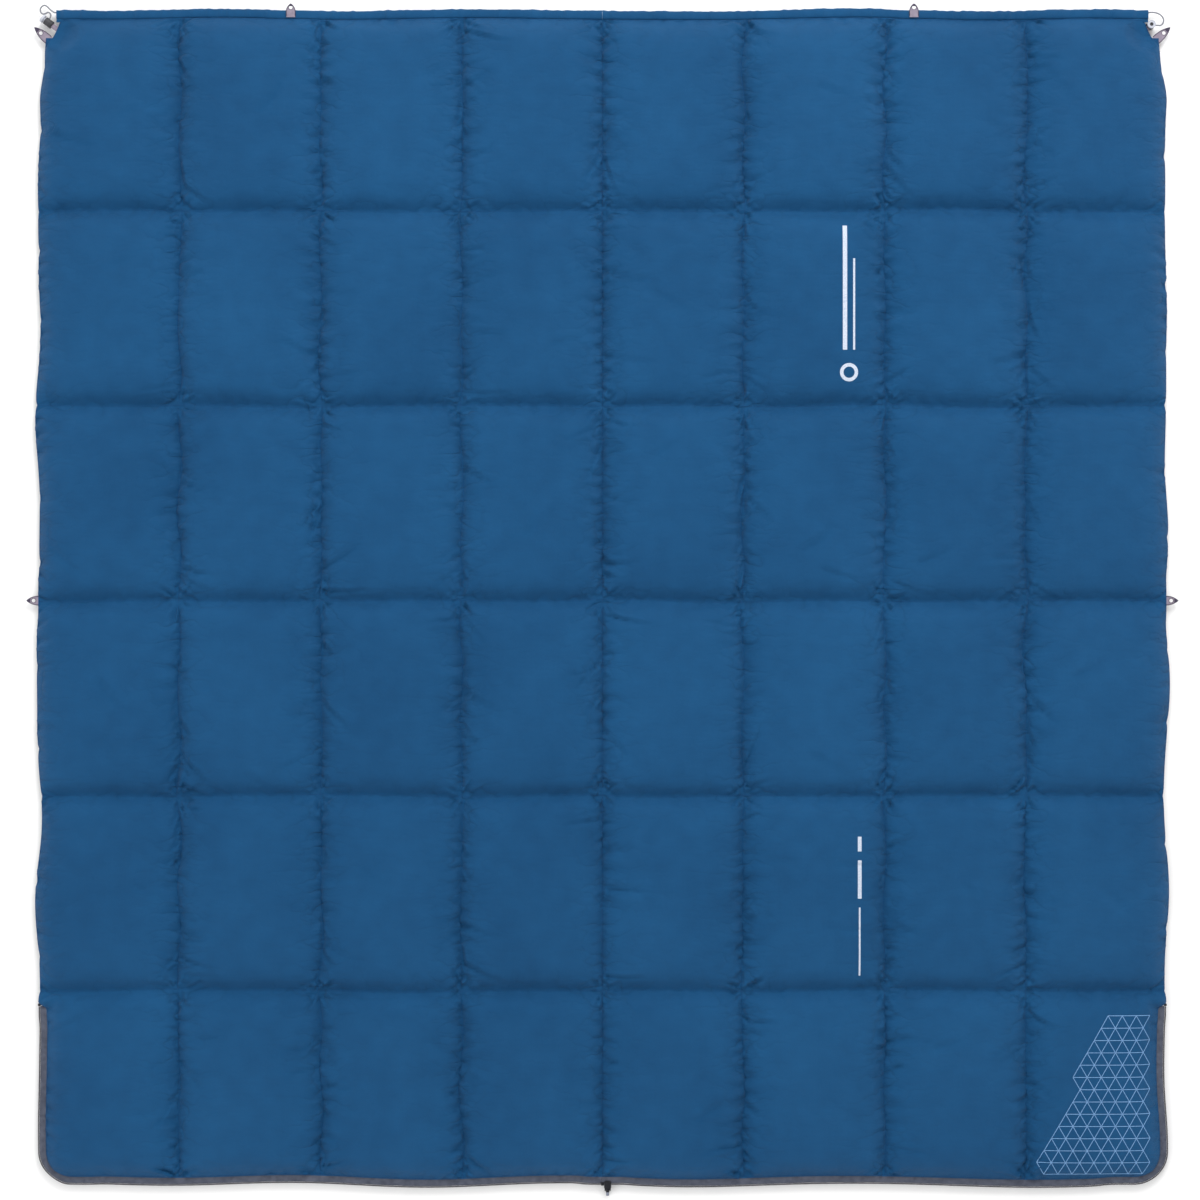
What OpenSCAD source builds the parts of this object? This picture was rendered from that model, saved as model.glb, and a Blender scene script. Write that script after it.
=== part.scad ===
// Two-person camp quilt, lying flat with its outer shell up.
// Millimetres. +Z up, +Y towards the neck edge, +X to the right.
// The origin is on the ground, under the middle of the whole quilt.

/* [Quilt] */
// Width across the quilt
quilt_w = 1920; // [1400:20:2200]
// Length from the foot edge to the neck edge
quilt_l = 2000; // [1700:20:2200]
// Number of stitched columns, an even number
columns = 8; // [6:2:10]
// Number of stitched rows
rows = 6; // [5:1:7]
// Length of the top row, which carries the drawcord channel
neck_row_l = 342; // [300:2:400]
// Height of the quilt at the middle of a cell
loft = 42; // [34:1:60]
// Height of the stitched seams above the ground
seam_z = 12; // [10:1:14]
// Thickness of the shell and lining fabric
fabric_t = 0.8; // [0.5:0.1:1]

/* [Zip] */
// Width of zip tape that shows outside the shell
tape_show = 14; // [10:1:18]
// How far the tape is sewn in under the edge
tuck = 6; // [4:1:8]
// Height of the zip up each side
zip_side_l = 305; // [200:5:310]
// Outer radius of the two foot corners
foot_corner_r = 55; // [50:1:70]

/* [Neck] */
// Width of the drawcord channel
channel_w = 15; // [14:1:20]
// How far the channel stops short of each side
channel_stop = 31; // [28:1:36]
// Diameter of the elastic drawcord
cord_d = 2.6; // [2.2:0.1:3]
// Distance of each neck loop from the middle
neck_loop_x = 530; // [500:5:560]

/* [Loops] */
// Width of the webbing loops
loop_w = 15; // [12:1:18]
// How far a side loop stands out from the edge
side_loop_out = 20; // [16:1:24]
// Radius of the hole through each loop
loop_hole_r = 3.2; // [3.1:0.1:3.5]

/* [Cord lock] */
// Outer radius of the barrel
barrel_r = 6.5; // [6:0.1:7]
// Length of the barrel
barrel_l = 14; // [13:0.5:15]
// Travel of the button
button_travel = 3; // [2:0.5:3]

/* [Hidden] */
$fn = 32;

SHELL_COLOR = [0.16, 0.35, 0.54];
LINING_COLOR = [0.25, 0.26, 0.28];
FILL_COLOR = [0.93, 0.92, 0.89];
THREAD_COLOR = [0.07, 0.20, 0.36];
WEBBING_COLOR = [0.52, 0.49, 0.54];
TAPE_COLOR = [0.38, 0.38, 0.42];
COIL_COLOR = [0.16, 0.15, 0.18];
PLASTIC_COLOR = [0.05, 0.05, 0.06];
METAL_COLOR = [0.45, 0.46, 0.48];
CORD_COLOR = [0.40, 0.40, 0.43];
BUTTON_COLOR = [0.62, 0.63, 0.68];

half_w = quilt_w / 2;
half_columns = columns / 2;
cell_w = quilt_w / columns;
row_l = (quilt_l - neck_row_l) / (rows - 1);

// The two halves meet at the middle seam with this gap on each side of it.
half_gap = 0.15;

// Room between shell and lining at the seams, where tape and webbing are sewn in.
sew_gap = 0.7;
shell_seam_z = seam_z + sew_gap;
lining_seam_z = seam_z - sew_gap - fabric_t;
webbing_t = 1;

// Each cell of fabric is a grid of this many squares each way.
grid_n = 5;
grid_u = half_columns * grid_n;
grid_v = rows * grid_n;
puff_power = 0.6;
lining_fullness = 1.7;

// The neck corners are cut back to clear the cord locks.
neck_corner_in = 14;
neck_corner_down = 48;

// Fill: one lens of insulation in each cell.
fill_inset = 18;
fill_rim_t = 2;
fill_up = 13;
fill_down = 6.5;
fill_rounding = 0.35;

// Zip cross-section.
coil_w = 3.2;
coil_half_t = 1.3;
stop_half_w = 2.5;
stop_gap = 0.2;
stop_proud = 0.4;
slider_x = 3;
slider_l = 12;
slider_outer = 7;
slider_inner = 8;
slider_half_t = 2.9;
slider_clear = 0.3;
lug_t = 2;
lug_reach = 3;
pull_bar_r = 0.8;
pull_bar_y = -slider_outer - 1.4;
pull_w = 6;
pull_t = 1.4;
pull_metal_l = 6;
pull_cord_l = 9;
pull_cord_w = 5;
pull_droop = 40;

// Height of the drawcord channel's tunnel.
tunnel_h = 6.4;

// Neck loops lie this far above the channel and stand this far beyond the neck edge.
patch_lift = 0.2;
neck_loop_out = 10;

// Cord lock, in its own frame: button at +Z, cord hole along X through its middle.
barrel_base = -10.5;
barrel_top = barrel_base + barrel_l;
bore_r = 4.5;
stem_r = 4.25;
barrel_floor = 2;
stem_bottom = -2;
head_r = 7;
head_t = 3.8;
head_gap = 0.2;
head_z = barrel_top + button_travel + head_gap;
cord_hole_r = 1.7;
spring_r = 3;
spring_wire_d = 0.7;
spring_turns = 3;
spring_gap = 0.2;
right_lock_at = [933, quilt_l - 26];
left_lock_at = [-945, quilt_l - 20];
left_lock_turn = 143;
right_tab_turn = -134.4;
tab_w = 8;
right_tab_l = 6.5;
left_tab_l = 15;
tab_grip = 1;

// Routes of the two free ends of the drawcord, from the channel to the cord lock.
// X is from the middle of the quilt, Y from the neck edge, Z from the ground.
cord_y = -4.5;
right_cord_route = [
    [929, -4.5, 12], [934, -4, 12], [939, -4, 11], [945, -5, 10], [951, -8, 9], [955, -13, 9],
    [956, -18, 9], [954, -23, 10], [950, -26, 11], [945, -26, 12], [938.2, -26, 12],
];
left_cord_route = [
    [-929, -4.5, 12], [-933, -4, 12], [-937, -1.5, 12], [-941, 2, 11], [-945, 6, 10], [-949.5, 8.5, 9],
    [-954, 7, 9], [-957, 3, 9], [-957, -1, 9], [-955, -5, 9], [-951, -6.5, 10], [-947, -5.5, 11],
    [-944, -4, 12], [-941, -5, 12], [-939, -8, 12], [-939, -11, 12], [-939.8, -13, 12],
    [-941.9, -15.8, 12],
];

// The plan is centred on the ground origin: half way between the pull's tip and the neck loops' tips.
pull_l = pull_metal_l + pull_cord_l;
foot_reach = pull_bar_y - pull_l * cos(pull_droop) - pull_t / 2 * sin(pull_droop);
foot_y = -(quilt_l + neck_loop_out + foot_reach) / 2;

// ---------- fabric grids ----------

// Distance of row line k from the foot edge, and the same with the fabric's own edges.
function row_line(k) = k < rows ? k * row_l : quilt_l;
function fabric_line(k) = k == 0 ? tape_show : k == rows ? quilt_l - channel_w : row_line(k);

// How far a point is through its own cell, and how full the cell is there, from 0 to 1.
function through_cell(i) = (i % grid_n) / grid_n;
function fullness(i, j) = pow(sin(180 * through_cell(i)) * sin(180 * through_cell(j)), puff_power);

function grid_y(j) = j == grid_v
    ? fabric_line(rows)
    : let (k = floor(j / grid_n))
      fabric_line(k) + (fabric_line(k + 1) - fabric_line(k)) * through_cell(j);

// The outer column is narrower beside the zip.
function grid_x(i, j) =
    let (
        x = max(half_gap, i * cell_w / grid_n),
        last_seam = half_w - cell_w,
        inset = j < grid_n ? tape_show : 0
    )
    x <= last_seam ? x : last_seam + (x - last_seam) * (cell_w - inset) / cell_w;

function foot_corner() =
    let (arc_in = (foot_corner_r - tape_show) * (1 - cos(45)))
    [half_w - tape_show - arc_in, tape_show + arc_in];

function plan_point(i, j) =
    i == grid_u && j == 0 ? foot_corner() :
    i == grid_u && j == grid_v ? [half_w - neck_corner_in, quilt_l - neck_corner_down] :
    [grid_x(i, j), grid_y(j)];

// A list of the grid's points, row by row, each at the height of heights[j][i].
function grid_points(heights) = [
    for (j = [0 : grid_v]) for (i = [0 : grid_u])
        let (p = plan_point(i, j)) [p[0], p[1], heights[j][i]]
];

function raised(points, height) = [for (p = points) [p[0], p[1], p[2] + height]];

// Closed solid between two grids of (nu + 1) x (nv + 1) points that share one plan.
module slab(nu, nv, lower, upper) {
    count = (nu + 1) * (nv + 1);
    function low(i, j) = i + j * (nu + 1);
    function high(i, j) = count + low(i, j);
    faces = [
        for (j = [0 : nv - 1]) for (i = [0 : nu - 1]) each [
            [high(i, j), high(i, j + 1), high(i + 1, j + 1)],
            [high(i, j), high(i + 1, j + 1), high(i + 1, j)],
            [low(i, j), low(i + 1, j + 1), low(i, j + 1)],
            [low(i, j), low(i + 1, j), low(i + 1, j + 1)],
        ],
        for (i = [0 : nu - 1]) each [
            [low(i, 0), high(i, 0), high(i + 1, 0), low(i + 1, 0)],
            [low(i + 1, nv), high(i + 1, nv), high(i, nv), low(i, nv)],
        ],
        for (j = [0 : nv - 1]) each [
            [low(0, j + 1), high(0, j + 1), high(0, j), low(0, j)],
            [low(nu, j), high(nu, j), high(nu, j + 1), low(nu, j + 1)],
        ],
    ];
    polyhedron(points = concat(lower, upper), faces = faces);
}

// ---------- helpers ----------

// Mirrors the right half's piece for the left half: side is 1 or -1.
module on_side(side) mirror([side < 0 ? 1 : 0, 0, 0]) children();

module at_foot() translate([0, foot_y, 0]) children();

// Flat strip of webbing at seam height between two plan points.
module strap(from, to, width) {
    run = to - from;
    translate([from[0], from[1], seam_z])
        rotate([0, 0, atan2(run[1], run[0])])
            translate([0, -width / 2, -webbing_t / 2]) cube([norm(run), width, webbing_t]);
}

function unit(v) = v / norm(v);

// Plain tube along a route that never stands upright.
module tube(route, diameter, sides) {
    last = len(route) - 1;
    rings = [
        for (k = [0 : last])
            let (
                along = unit(route[min(k + 1, last)] - route[max(k - 1, 0)]),
                across = unit(cross([0, 0, 1], along)),
                up = cross(along, across)
            )
            for (s = [0 : sides - 1])
                let (a = 360 * s / sides)
                route[k] + diameter / 2 * (cos(a) * across + sin(a) * up)
    ];
    function id(k, s) = k * sides + s % sides;
    faces = [
        [for (s = [0 : sides - 1]) id(0, s)],
        for (k = [0 : last - 1]) for (s = [0 : sides - 1]) each [
            [id(k, s), id(k + 1, s), id(k + 1, s + 1)],
            [id(k, s), id(k + 1, s + 1), id(k, s + 1)],
        ],
        [for (s = [sides - 1 : -1 : 0]) id(last, s)],
    ];
    polyhedron(points = rings, faces = faces);
}

// ---------- fabric and fill ----------

module outer_shell() {
    heights = [
        for (j = [0 : grid_v]) [
            for (i = [0 : grid_u])
                shell_seam_z + (loft - fabric_t - shell_seam_z) * fullness(i, j) / fullness(2, 2)
        ]
    ];
    points = grid_points(heights);
    color(SHELL_COLOR) slab(grid_u, grid_v, points, raised(points, fabric_t));
}

module lining() {
    heights = [
        for (j = [0 : grid_v]) [
            for (i = [0 : grid_u])
                lining_seam_z * (1 - min(1, lining_fullness * fullness(i, j)))
        ]
    ];
    points = grid_points(heights);
    color(LINING_COLOR) slab(grid_u, grid_v, points, raised(points, fabric_t));
}

// One lens of down: flat-rimmed, with rounded corners, fuller above than below.
module down_lens(middle, size) {
    function spread(s, t) = [
        middle[0] + size[0] / 2 * s * sqrt(1 - fill_rounding * t * t / 2),
        middle[1] + size[1] / 2 * t * sqrt(1 - fill_rounding * s * s / 2),
    ];
    function lens_points(amount) = [
        for (j = [0 : grid_n]) for (i = [0 : grid_n])
            let (
                s = 2 * i / grid_n - 1,
                t = 2 * j / grid_n - 1,
                p = spread(s, t),
                swell = pow((1 - s * s) * (1 - t * t), puff_power)
            )
            [p[0], p[1], seam_z + sign(amount) * fill_rim_t / 2 + amount * swell]
    ];
    slab(grid_n, grid_n, lens_points(-fill_down), lens_points(fill_up));
}

// The six lenses of one column; column 1 is next to the middle seam.
module down_fill(column) {
    side_trim = column == half_columns ? tape_show : 0;
    x0 = (column - 1) * cell_w + fill_inset;
    x1 = column * cell_w - fill_inset - side_trim;
    color(FILL_COLOR) for (k = [0 : rows - 1]) {
        y0 = fabric_line(k) + fill_inset;
        y1 = fabric_line(k + 1) - fill_inset;
        down_lens([(x0 + x1) / 2, (y0 + y1) / 2], [x1 - x0, y1 - y0]);
    }
}

// Lockstitch lines: needle thread in the grooves on top, bobbin thread under the lining.
module quilting_thread(with_middle) {
    thread_d = 1;
    thread_clear = 0.4;
    end_gap = 1;
    lift = thread_d / 2 + thread_clear;
    y_low = fabric_line(0) + end_gap;
    y_high = fabric_line(rows) - end_gap;
    first = with_middle ? 0 : 1;
    color(THREAD_COLOR) for (z = [shell_seam_z + fabric_t + lift, lining_seam_z - lift]) {
        for (c = [first : half_columns - 1])
            translate([c == 0 ? half_gap + thread_d / 2 : c * cell_w, y_low, z])
                rotate([-90, 0, 0]) cylinder(d = thread_d, h = y_high - y_low, $fn = 8);
        for (k = [1 : rows - 1])
            translate([half_gap, row_line(k), z])
                rotate([0, 90, 0]) cylinder(d = thread_d, h = half_w - tape_show - half_gap, $fn = 8);
    }
}

// ---------- neck edge ----------

module stadium(width, height) {
    r = height / 2;
    square([width - height, height], center = true);
    for (s = [-1, 1]) translate([s * (width / 2 - r), 0]) circle(r = r);
}

// Drawcord tunnel with a sewing tongue that goes in between shell and lining.
module neck_channel() {
    overlap = 1;
    length = half_w - channel_stop - half_gap;
    color(SHELL_COLOR)
        translate([half_gap, quilt_l - channel_w / 2, seam_z])
            rotate([90, 0, 90])
                linear_extrude(height = length)
                    difference() {
                        union() {
                            stadium(channel_w, tunnel_h);
                            translate([-channel_w / 2 - tuck, -webbing_t / 2])
                                square([tuck + overlap, webbing_t]);
                        }
                        stadium(channel_w - 2 * fabric_t, tunnel_h - 2 * fabric_t);
                    }
}

module drawcord() {
    color(CORD_COLOR)
        translate([half_gap, quilt_l + cord_y, seam_z])
            rotate([0, 90, 0]) cylinder(d = cord_d, h = half_w - channel_stop - half_gap, $fn = 8);
}

module corner_cord(route) {
    color(CORD_COLOR) tube([for (p = route) p + [0, quilt_l, 0]], cord_d, 8);
}

// ---------- webbing loops ----------

// Flat leaf of doubled webbing, root at the origin, pointing along +Y, with a round hole.
module leaf_loop(root_l, out_l, hole_y) {
    half = loop_w / 2;
    arc_r = (out_l * out_l + half * half) / (2 * half);
    linear_extrude(height = webbing_t)
        difference() {
            union() {
                translate([-half, -root_l]) square([loop_w, root_l]);
                intersection() {
                    translate([arc_r - half, 0]) circle(r = arc_r, $fn = 96);
                    translate([half - arc_r, 0]) circle(r = arc_r, $fn = 96);
                    translate([-half, 0]) square([loop_w, out_l]);
                }
            }
            translate([0, hole_y]) circle(r = loop_hole_r);
        }
}

module side_loop() {
    hole_out = 8;
    color(WEBBING_COLOR)
        translate([half_w, row_line(rows / 2), seam_z - webbing_t / 2])
            rotate([0, 0, -90]) leaf_loop(tuck, side_loop_out, hole_out);
}

module corner_loop() {
    corner_loop_out = 28;
    hole_out = 13;
    turn = -48;
    color(WEBBING_COLOR)
        translate([half_w - neck_corner_in, quilt_l - neck_corner_down, seam_z - webbing_t / 2])
            rotate([0, 0, turn]) leaf_loop(tuck, corner_loop_out, hole_out);
}

// Lies on top of the channel, with its tip and hole beyond the neck edge.
module neck_loop() {
    patch_l = 13;
    shoulder_in = 4;
    hole_clear = 0.4;
    hole_out = shoulder_in + loop_hole_r + hole_clear;
    color(WEBBING_COLOR)
        translate([neck_loop_x, quilt_l - shoulder_in, seam_z + tunnel_h / 2 + patch_lift])
            leaf_loop(patch_l - shoulder_in, neck_loop_out + shoulder_in, hole_out);
}

// ---------- cord locks ----------

module at_lock(side) {
    if (side > 0)
        translate([right_lock_at[0], right_lock_at[1], seam_z]) children();
    else
        translate([left_lock_at[0], left_lock_at[1], seam_z])
            rotate([0, 0, left_lock_turn]) rotate([0, 90, 0]) rotate([0, 0, 90]) children();
}

module cord_hole() rotate([0, 90, 0]) cylinder(r = cord_hole_r, h = 4 * barrel_r, center = true);

module cord_lock_body(side) {
    color(PLASTIC_COLOR) at_lock(side) difference() {
        translate([0, 0, barrel_base]) cylinder(r = barrel_r, h = barrel_l, $fn = 48);
        translate([0, 0, barrel_base + barrel_floor]) cylinder(r = bore_r, h = barrel_l, $fn = 48);
        cord_hole();
    }
}

module cord_lock_button(side) {
    recess_r = 3;
    recess_depth = 1.5;
    color(BUTTON_COLOR) at_lock(side) difference() {
        union() {
            translate([0, 0, stem_bottom])
                cylinder(r = stem_r, h = head_z + head_t / 2 - stem_bottom, $fn = 48);
            translate([0, 0, head_z]) cylinder(r = head_r, h = head_t, $fn = 48);
        }
        translate([0, 0, head_z + head_t - recess_depth]) cylinder(r = recess_r, h = head_t);
        translate([0, 0, button_travel / 2]) cord_hole();
    }
}

// The spring is drawn at the length it has with the button pressed.
module cord_lock_spring(side) {
    steps = 12;
    room = stem_bottom - button_travel - barrel_base - barrel_floor - spring_wire_d - 2 * spring_gap;
    helix = [
        for (k = [0 : spring_turns * steps])
            let (a = 360 * k / steps)
            [spring_r * cos(a), spring_r * sin(a), room * k / (spring_turns * steps)]
    ];
    color(METAL_COLOR) at_lock(side)
        translate([0, 0, barrel_base + barrel_floor + spring_wire_d / 2 + spring_gap])
            tube(helix, spring_wire_d, 6);
}

// Webbing tab that ties the lock to the quilt's corner; it grips the barrel by tab_grip.
module lock_tab(side) {
    turn = side > 0 ? right_tab_turn : left_lock_turn - 180;
    inward = [cos(turn), sin(turn)];
    reach = side > 0 ? barrel_r : -barrel_base;
    lock_at = side > 0 ? right_lock_at : left_lock_at;
    tab_l = side > 0 ? right_tab_l : left_tab_l;
    color(WEBBING_COLOR)
        strap(lock_at + inward * (reach - tab_grip), lock_at + inward * (reach + tab_l), tab_w);
}

// ---------- zip ----------

// Plan of the zip's path, inset from the outer edge: foot edge, corner and side.
module zip_region(inset) {
    corner = foot_corner_r;
    translate([0, inset]) square([half_w - corner, zip_side_l]);
    translate([0, corner]) square([half_w - inset, zip_side_l]);
    translate([half_w - corner, corner]) circle(r = corner - inset, $fn = 64);
}

// Band of the zip's path between two insets, cut off at the middle stop and at the top.
module zip_band(outer, inner, half_t) {
    translate([0, 0, seam_z - half_t])
        linear_extrude(height = 2 * half_t)
            intersection() {
                difference() {
                    zip_region(outer);
                    zip_region(inner);
                }
                translate([stop_half_w + stop_gap, 0]) square([half_w, zip_side_l]);
            }
}

module zip_tape() color(TAPE_COLOR) zip_band(coil_w, tape_show + tuck, webbing_t / 2);

module zip_coil() color(COIL_COLOR) zip_band(0, coil_w, coil_half_t);

module zip_top_stop() {
    size = [4.4, 4, 3.6];
    color(METAL_COLOR)
        translate([half_w - size[0] + stop_proud, zip_side_l, seam_z - size[2] / 2]) cube(size);
}

module zip_bottom_stop() {
    size = [2 * stop_half_w + stop_gap, 5.4, 3.8];
    color(METAL_COLOR)
        translate([-stop_half_w, -stop_proud, seam_z - size[2] / 2]) cube(size);
}

// Slider round the coil and the tape, with two lugs at its nose for the pull.
module zip_slider() {
    lug_gap = (slider_l - pull_w) / 2 - lug_t - slider_clear;
    color(METAL_COLOR) translate([slider_x, 0, seam_z]) difference() {
        union() {
            translate([0, -slider_outer, -slider_half_t])
                cube([slider_l, slider_outer + slider_inner, 2 * slider_half_t]);
            for (x = [lug_gap, slider_l - lug_gap - lug_t])
                translate([x, -slider_outer - lug_reach, -lug_t])
                    cube([lug_t, lug_reach + 1, 2 * lug_t]);
            translate([lug_gap, pull_bar_y, 0])
                rotate([0, 90, 0]) cylinder(r = pull_bar_r, h = slider_l - 2 * lug_gap);
        }
        translate([-1, -slider_clear, -coil_half_t - slider_clear])
            cube([slider_l + 2, coil_w + 2 * slider_clear, 2 * (coil_half_t + slider_clear)]);
        translate([-1, 0, -webbing_t / 2 - slider_clear])
            cube([slider_l + 2, slider_inner + 1, webbing_t + 2 * slider_clear]);
    }
}

// Frame of the pull: origin on the bar, +X along the bar, -Y out to the tip.
module at_pull() {
    translate([slider_x + slider_l / 2, pull_bar_y, seam_z])
        rotate([pull_droop, 0, 0]) children();
}

module zip_pull() {
    eye_r = 1.35;
    eye_hole_r = pull_bar_r + 0.15;
    color(METAL_COLOR) at_pull() difference() {
        union() {
            rotate([0, 90, 0]) cylinder(r = eye_r, h = pull_w, center = true);
            translate([-pull_w / 2, -pull_metal_l, -pull_t / 2]) cube([pull_w, pull_metal_l, pull_t]);
        }
        rotate([0, 90, 0]) cylinder(r = eye_hole_r, h = pull_w + 1, center = true);
    }
}

module pull_cord() {
    color(BUTTON_COLOR) at_pull()
        translate([-pull_cord_w / 2, -pull_l, -pull_t / 2]) cube([pull_cord_w, pull_cord_l, pull_t]);
}

// ---------- nodes ----------

function half_name(side) = side > 0 ? "right" : "left";

module half_node(side, name, number = "") {
    at_foot() children();
}

for (side = [1, -1]) {
    half_node(side, "outer_shell") on_side(side) outer_shell();
    half_node(side, "lining") on_side(side) lining();
    for (c = [1 : half_columns]) half_node(side, "down_fill", str("_", c)) on_side(side) down_fill(c);
    half_node(side, "quilting_thread") on_side(side) quilting_thread(side > 0);
    half_node(side, "neck_channel") on_side(side) neck_channel();
    half_node(side, "drawcord") on_side(side) drawcord();
    half_node(side, "corner_cord") corner_cord(side > 0 ? right_cord_route : left_cord_route);
    half_node(side, "side_loop") on_side(side) side_loop();
    half_node(side, "corner_loop") on_side(side) corner_loop();
    half_node(side, "neck_loop") on_side(side) neck_loop();
    half_node(side, "lock_tab") lock_tab(side);
    half_node(side, "cord_lock_body") cord_lock_body(side);
    half_node(side, "cord_lock_spring") cord_lock_spring(side);
    half_node(side, "cord_lock_button") cord_lock_button(side);
    half_node(side, "zip_tape") on_side(side) zip_tape();
    half_node(side, "zip_coil") on_side(side) zip_coil();
    half_node(side, "zip_top_stop") on_side(side) zip_top_stop();
}
at_foot() zip_bottom_stop();
at_foot() zip_slider();
at_foot() zip_pull();
at_foot() pull_cord();
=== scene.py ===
import math

import bmesh
import bpy
import numpy as np
from mathutils import Matrix, Vector
from mathutils.bvhtree import BVHTree


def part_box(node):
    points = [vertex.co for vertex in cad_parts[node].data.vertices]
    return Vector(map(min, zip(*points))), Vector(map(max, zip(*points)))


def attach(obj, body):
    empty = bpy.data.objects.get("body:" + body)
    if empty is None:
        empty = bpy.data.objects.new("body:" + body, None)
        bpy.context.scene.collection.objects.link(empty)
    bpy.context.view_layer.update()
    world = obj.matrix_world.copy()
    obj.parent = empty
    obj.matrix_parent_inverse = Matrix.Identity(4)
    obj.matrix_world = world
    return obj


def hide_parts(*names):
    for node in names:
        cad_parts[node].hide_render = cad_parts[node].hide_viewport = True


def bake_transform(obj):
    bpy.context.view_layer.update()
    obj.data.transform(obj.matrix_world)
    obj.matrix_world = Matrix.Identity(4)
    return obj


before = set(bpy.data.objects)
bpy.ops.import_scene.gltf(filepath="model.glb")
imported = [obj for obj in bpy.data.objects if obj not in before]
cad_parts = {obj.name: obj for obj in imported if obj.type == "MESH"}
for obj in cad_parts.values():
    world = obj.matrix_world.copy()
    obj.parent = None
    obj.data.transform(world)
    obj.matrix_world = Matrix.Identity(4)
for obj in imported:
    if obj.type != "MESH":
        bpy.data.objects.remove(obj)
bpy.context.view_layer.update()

# ---------- sizes from the frame, in metres ----------

shell_low, shell_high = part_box("outer_shell_right")
coil_low, coil_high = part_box("zip_coil_right")
channel_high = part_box("neck_channel_right")[1]
tape_low, tape_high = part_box("zip_tape_right")

HALF_W = shell_high.x
LOFT_Z = shell_high.z
FOOT_Y = coil_low.y
NECK_Y = channel_high.y
FABRIC_FOOT_Y = shell_low.y
FABRIC_NECK_Y = shell_high.y
SEAM_Z = (coil_low.z + coil_high.z) / 2
SEW_GAP = shell_low.z - SEAM_Z
TAPE_SHOW = FABRIC_FOOT_Y - FOOT_Y
ZIP_TOP_Y = tape_high.y
COIL_W = HALF_W - tape_high.x
CHANNEL_END_X = channel_high.x
ZIP_START_X = tape_low.x

# The quilt's own pattern: eight columns of six cells, the top row a little longer.
COLUMNS = 8
ROWS = 6
CELL_W = 2 * HALF_W / COLUMNS
NECK_ROW_L = 0.342
ROW_L = (NECK_Y - FOOT_Y - NECK_ROW_L) / (ROWS - 1)
FOOT_CORNER_R = 0.055
LOCK_X = 0.933
LOCK_IN = 0.026
SHELL_STEPS = (48, 66)
LINING_STEPS = (24, 33)
SIDES = {"right": 1, "left": -1}

COLUMN_LINES = [(k - COLUMNS / 2) * CELL_W for k in range(COLUMNS + 1)]
ROW_LINES = [FABRIC_FOOT_Y] + [FOOT_Y + k * ROW_L for k in range(1, ROWS)] + [FABRIC_NECK_Y]

rng = np.random.default_rng(7)


# ---------- camera, floor and light ----------

def make_camera():
    """Looks straight down, framed a little wider than the quilt."""
    view_w = 1.062 * 2 * HALF_W
    lens = 85
    data = bpy.data.cameras.new("camera")
    data.lens = lens
    data.sensor_width = 36
    cam = bpy.data.objects.new("camera", data)
    bpy.context.scene.collection.objects.link(cam)
    cam.location = (-0.004, 0.001, 0.02 + view_w * lens / data.sensor_width)
    bpy.context.scene.camera = cam


def make_stage():
    bpy.ops.mesh.primitive_plane_add(size=14, location=(0, 0, -0.0004))
    floor = bpy.context.object
    floor.name = "floor"
    mat = bpy.data.materials.new("floor_paper")
    mat.use_nodes = True
    shader = mat.node_tree.nodes["Principled BSDF"]
    shader.inputs["Base Color"].default_value = (0.96, 0.96, 0.96, 1)
    shader.inputs["Roughness"].default_value = 0.9
    floor.data.materials.append(mat)


def add_light(name, place, size, power):
    data = bpy.data.lights.new(name, "AREA")
    data.size = size
    data.energy = power
    lamp = bpy.data.objects.new(name, data)
    lamp.location = place
    lamp.rotation_euler = (-Vector(place)).to_track_quat("-Z", "Y").to_euler()
    bpy.context.scene.collection.objects.link(lamp)


def make_light():
    scene = bpy.context.scene
    scene.view_settings.view_transform = "Standard"
    world = bpy.data.worlds.new("studio")
    world.use_nodes = True
    background = world.node_tree.nodes["Background"]
    background.inputs["Color"].default_value = (1, 1, 1, 1)
    background.inputs["Strength"].default_value = 0.9
    scene.world = world
    add_light("key", (0.7, 3.2, 3.0), 2.0, 114)
    add_light("fill", (-3.2, -1.5, 3.4), 3.0, 30)


# ---------- mesh helpers ----------

def new_piece(name, verts, faces, smooth=True, uvs=None):
    """A mesh object from an array of points and a list or array of faces."""
    mesh = bpy.data.meshes.new(name)
    mesh.from_pydata(np.asarray(verts).reshape(-1, 3).tolist(), [], [list(f) for f in faces])
    mesh.validate()
    if uvs is not None:
        layer = mesh.uv_layers.new(name="cloth")
        corners = np.zeros(len(mesh.loops), np.int32)
        mesh.loops.foreach_get("vertex_index", corners)
        layer.data.foreach_set("uv", np.asarray(uvs, np.float32).reshape(-1, 2)[corners].ravel())
    mesh.shade_smooth() if smooth else mesh.shade_flat()
    piece = bpy.data.objects.new(name, mesh)
    bpy.context.scene.collection.objects.link(piece)
    return piece


def grid_faces(nj, ni, first=0, wrap=False):
    """Quads of a grid of nj rows by ni points; wrap joins the last point of a row to its first."""
    index = first + np.arange(nj * ni).reshape(nj, ni)
    if wrap:
        index = np.concatenate([index, index[:, :1]], axis=1)
    return np.stack([index[:-1, :-1], index[:-1, 1:], index[1:, 1:], index[1:, :-1]], -1).reshape(-1, 4)


def smooth_route(points, per_span=6):
    """Catmull-Rom curve through a given route."""
    p = [np.array(q, float) for q in points]
    p = [2 * p[0] - p[1], *p, 2 * p[-1] - p[-2]]
    out = []
    for a, b, c, d in zip(p, p[1:], p[2:], p[3:]):
        for s in range(per_span):
            t = s / per_span
            square = (2 * a - 5 * b + 4 * c - d) * t**2
            cube = (3 * b - a - 3 * c + d) * t**3
            out.append(0.5 * (2 * b + (c - a) * t + square + cube))
    return np.array(out + [p[-2]])


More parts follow.
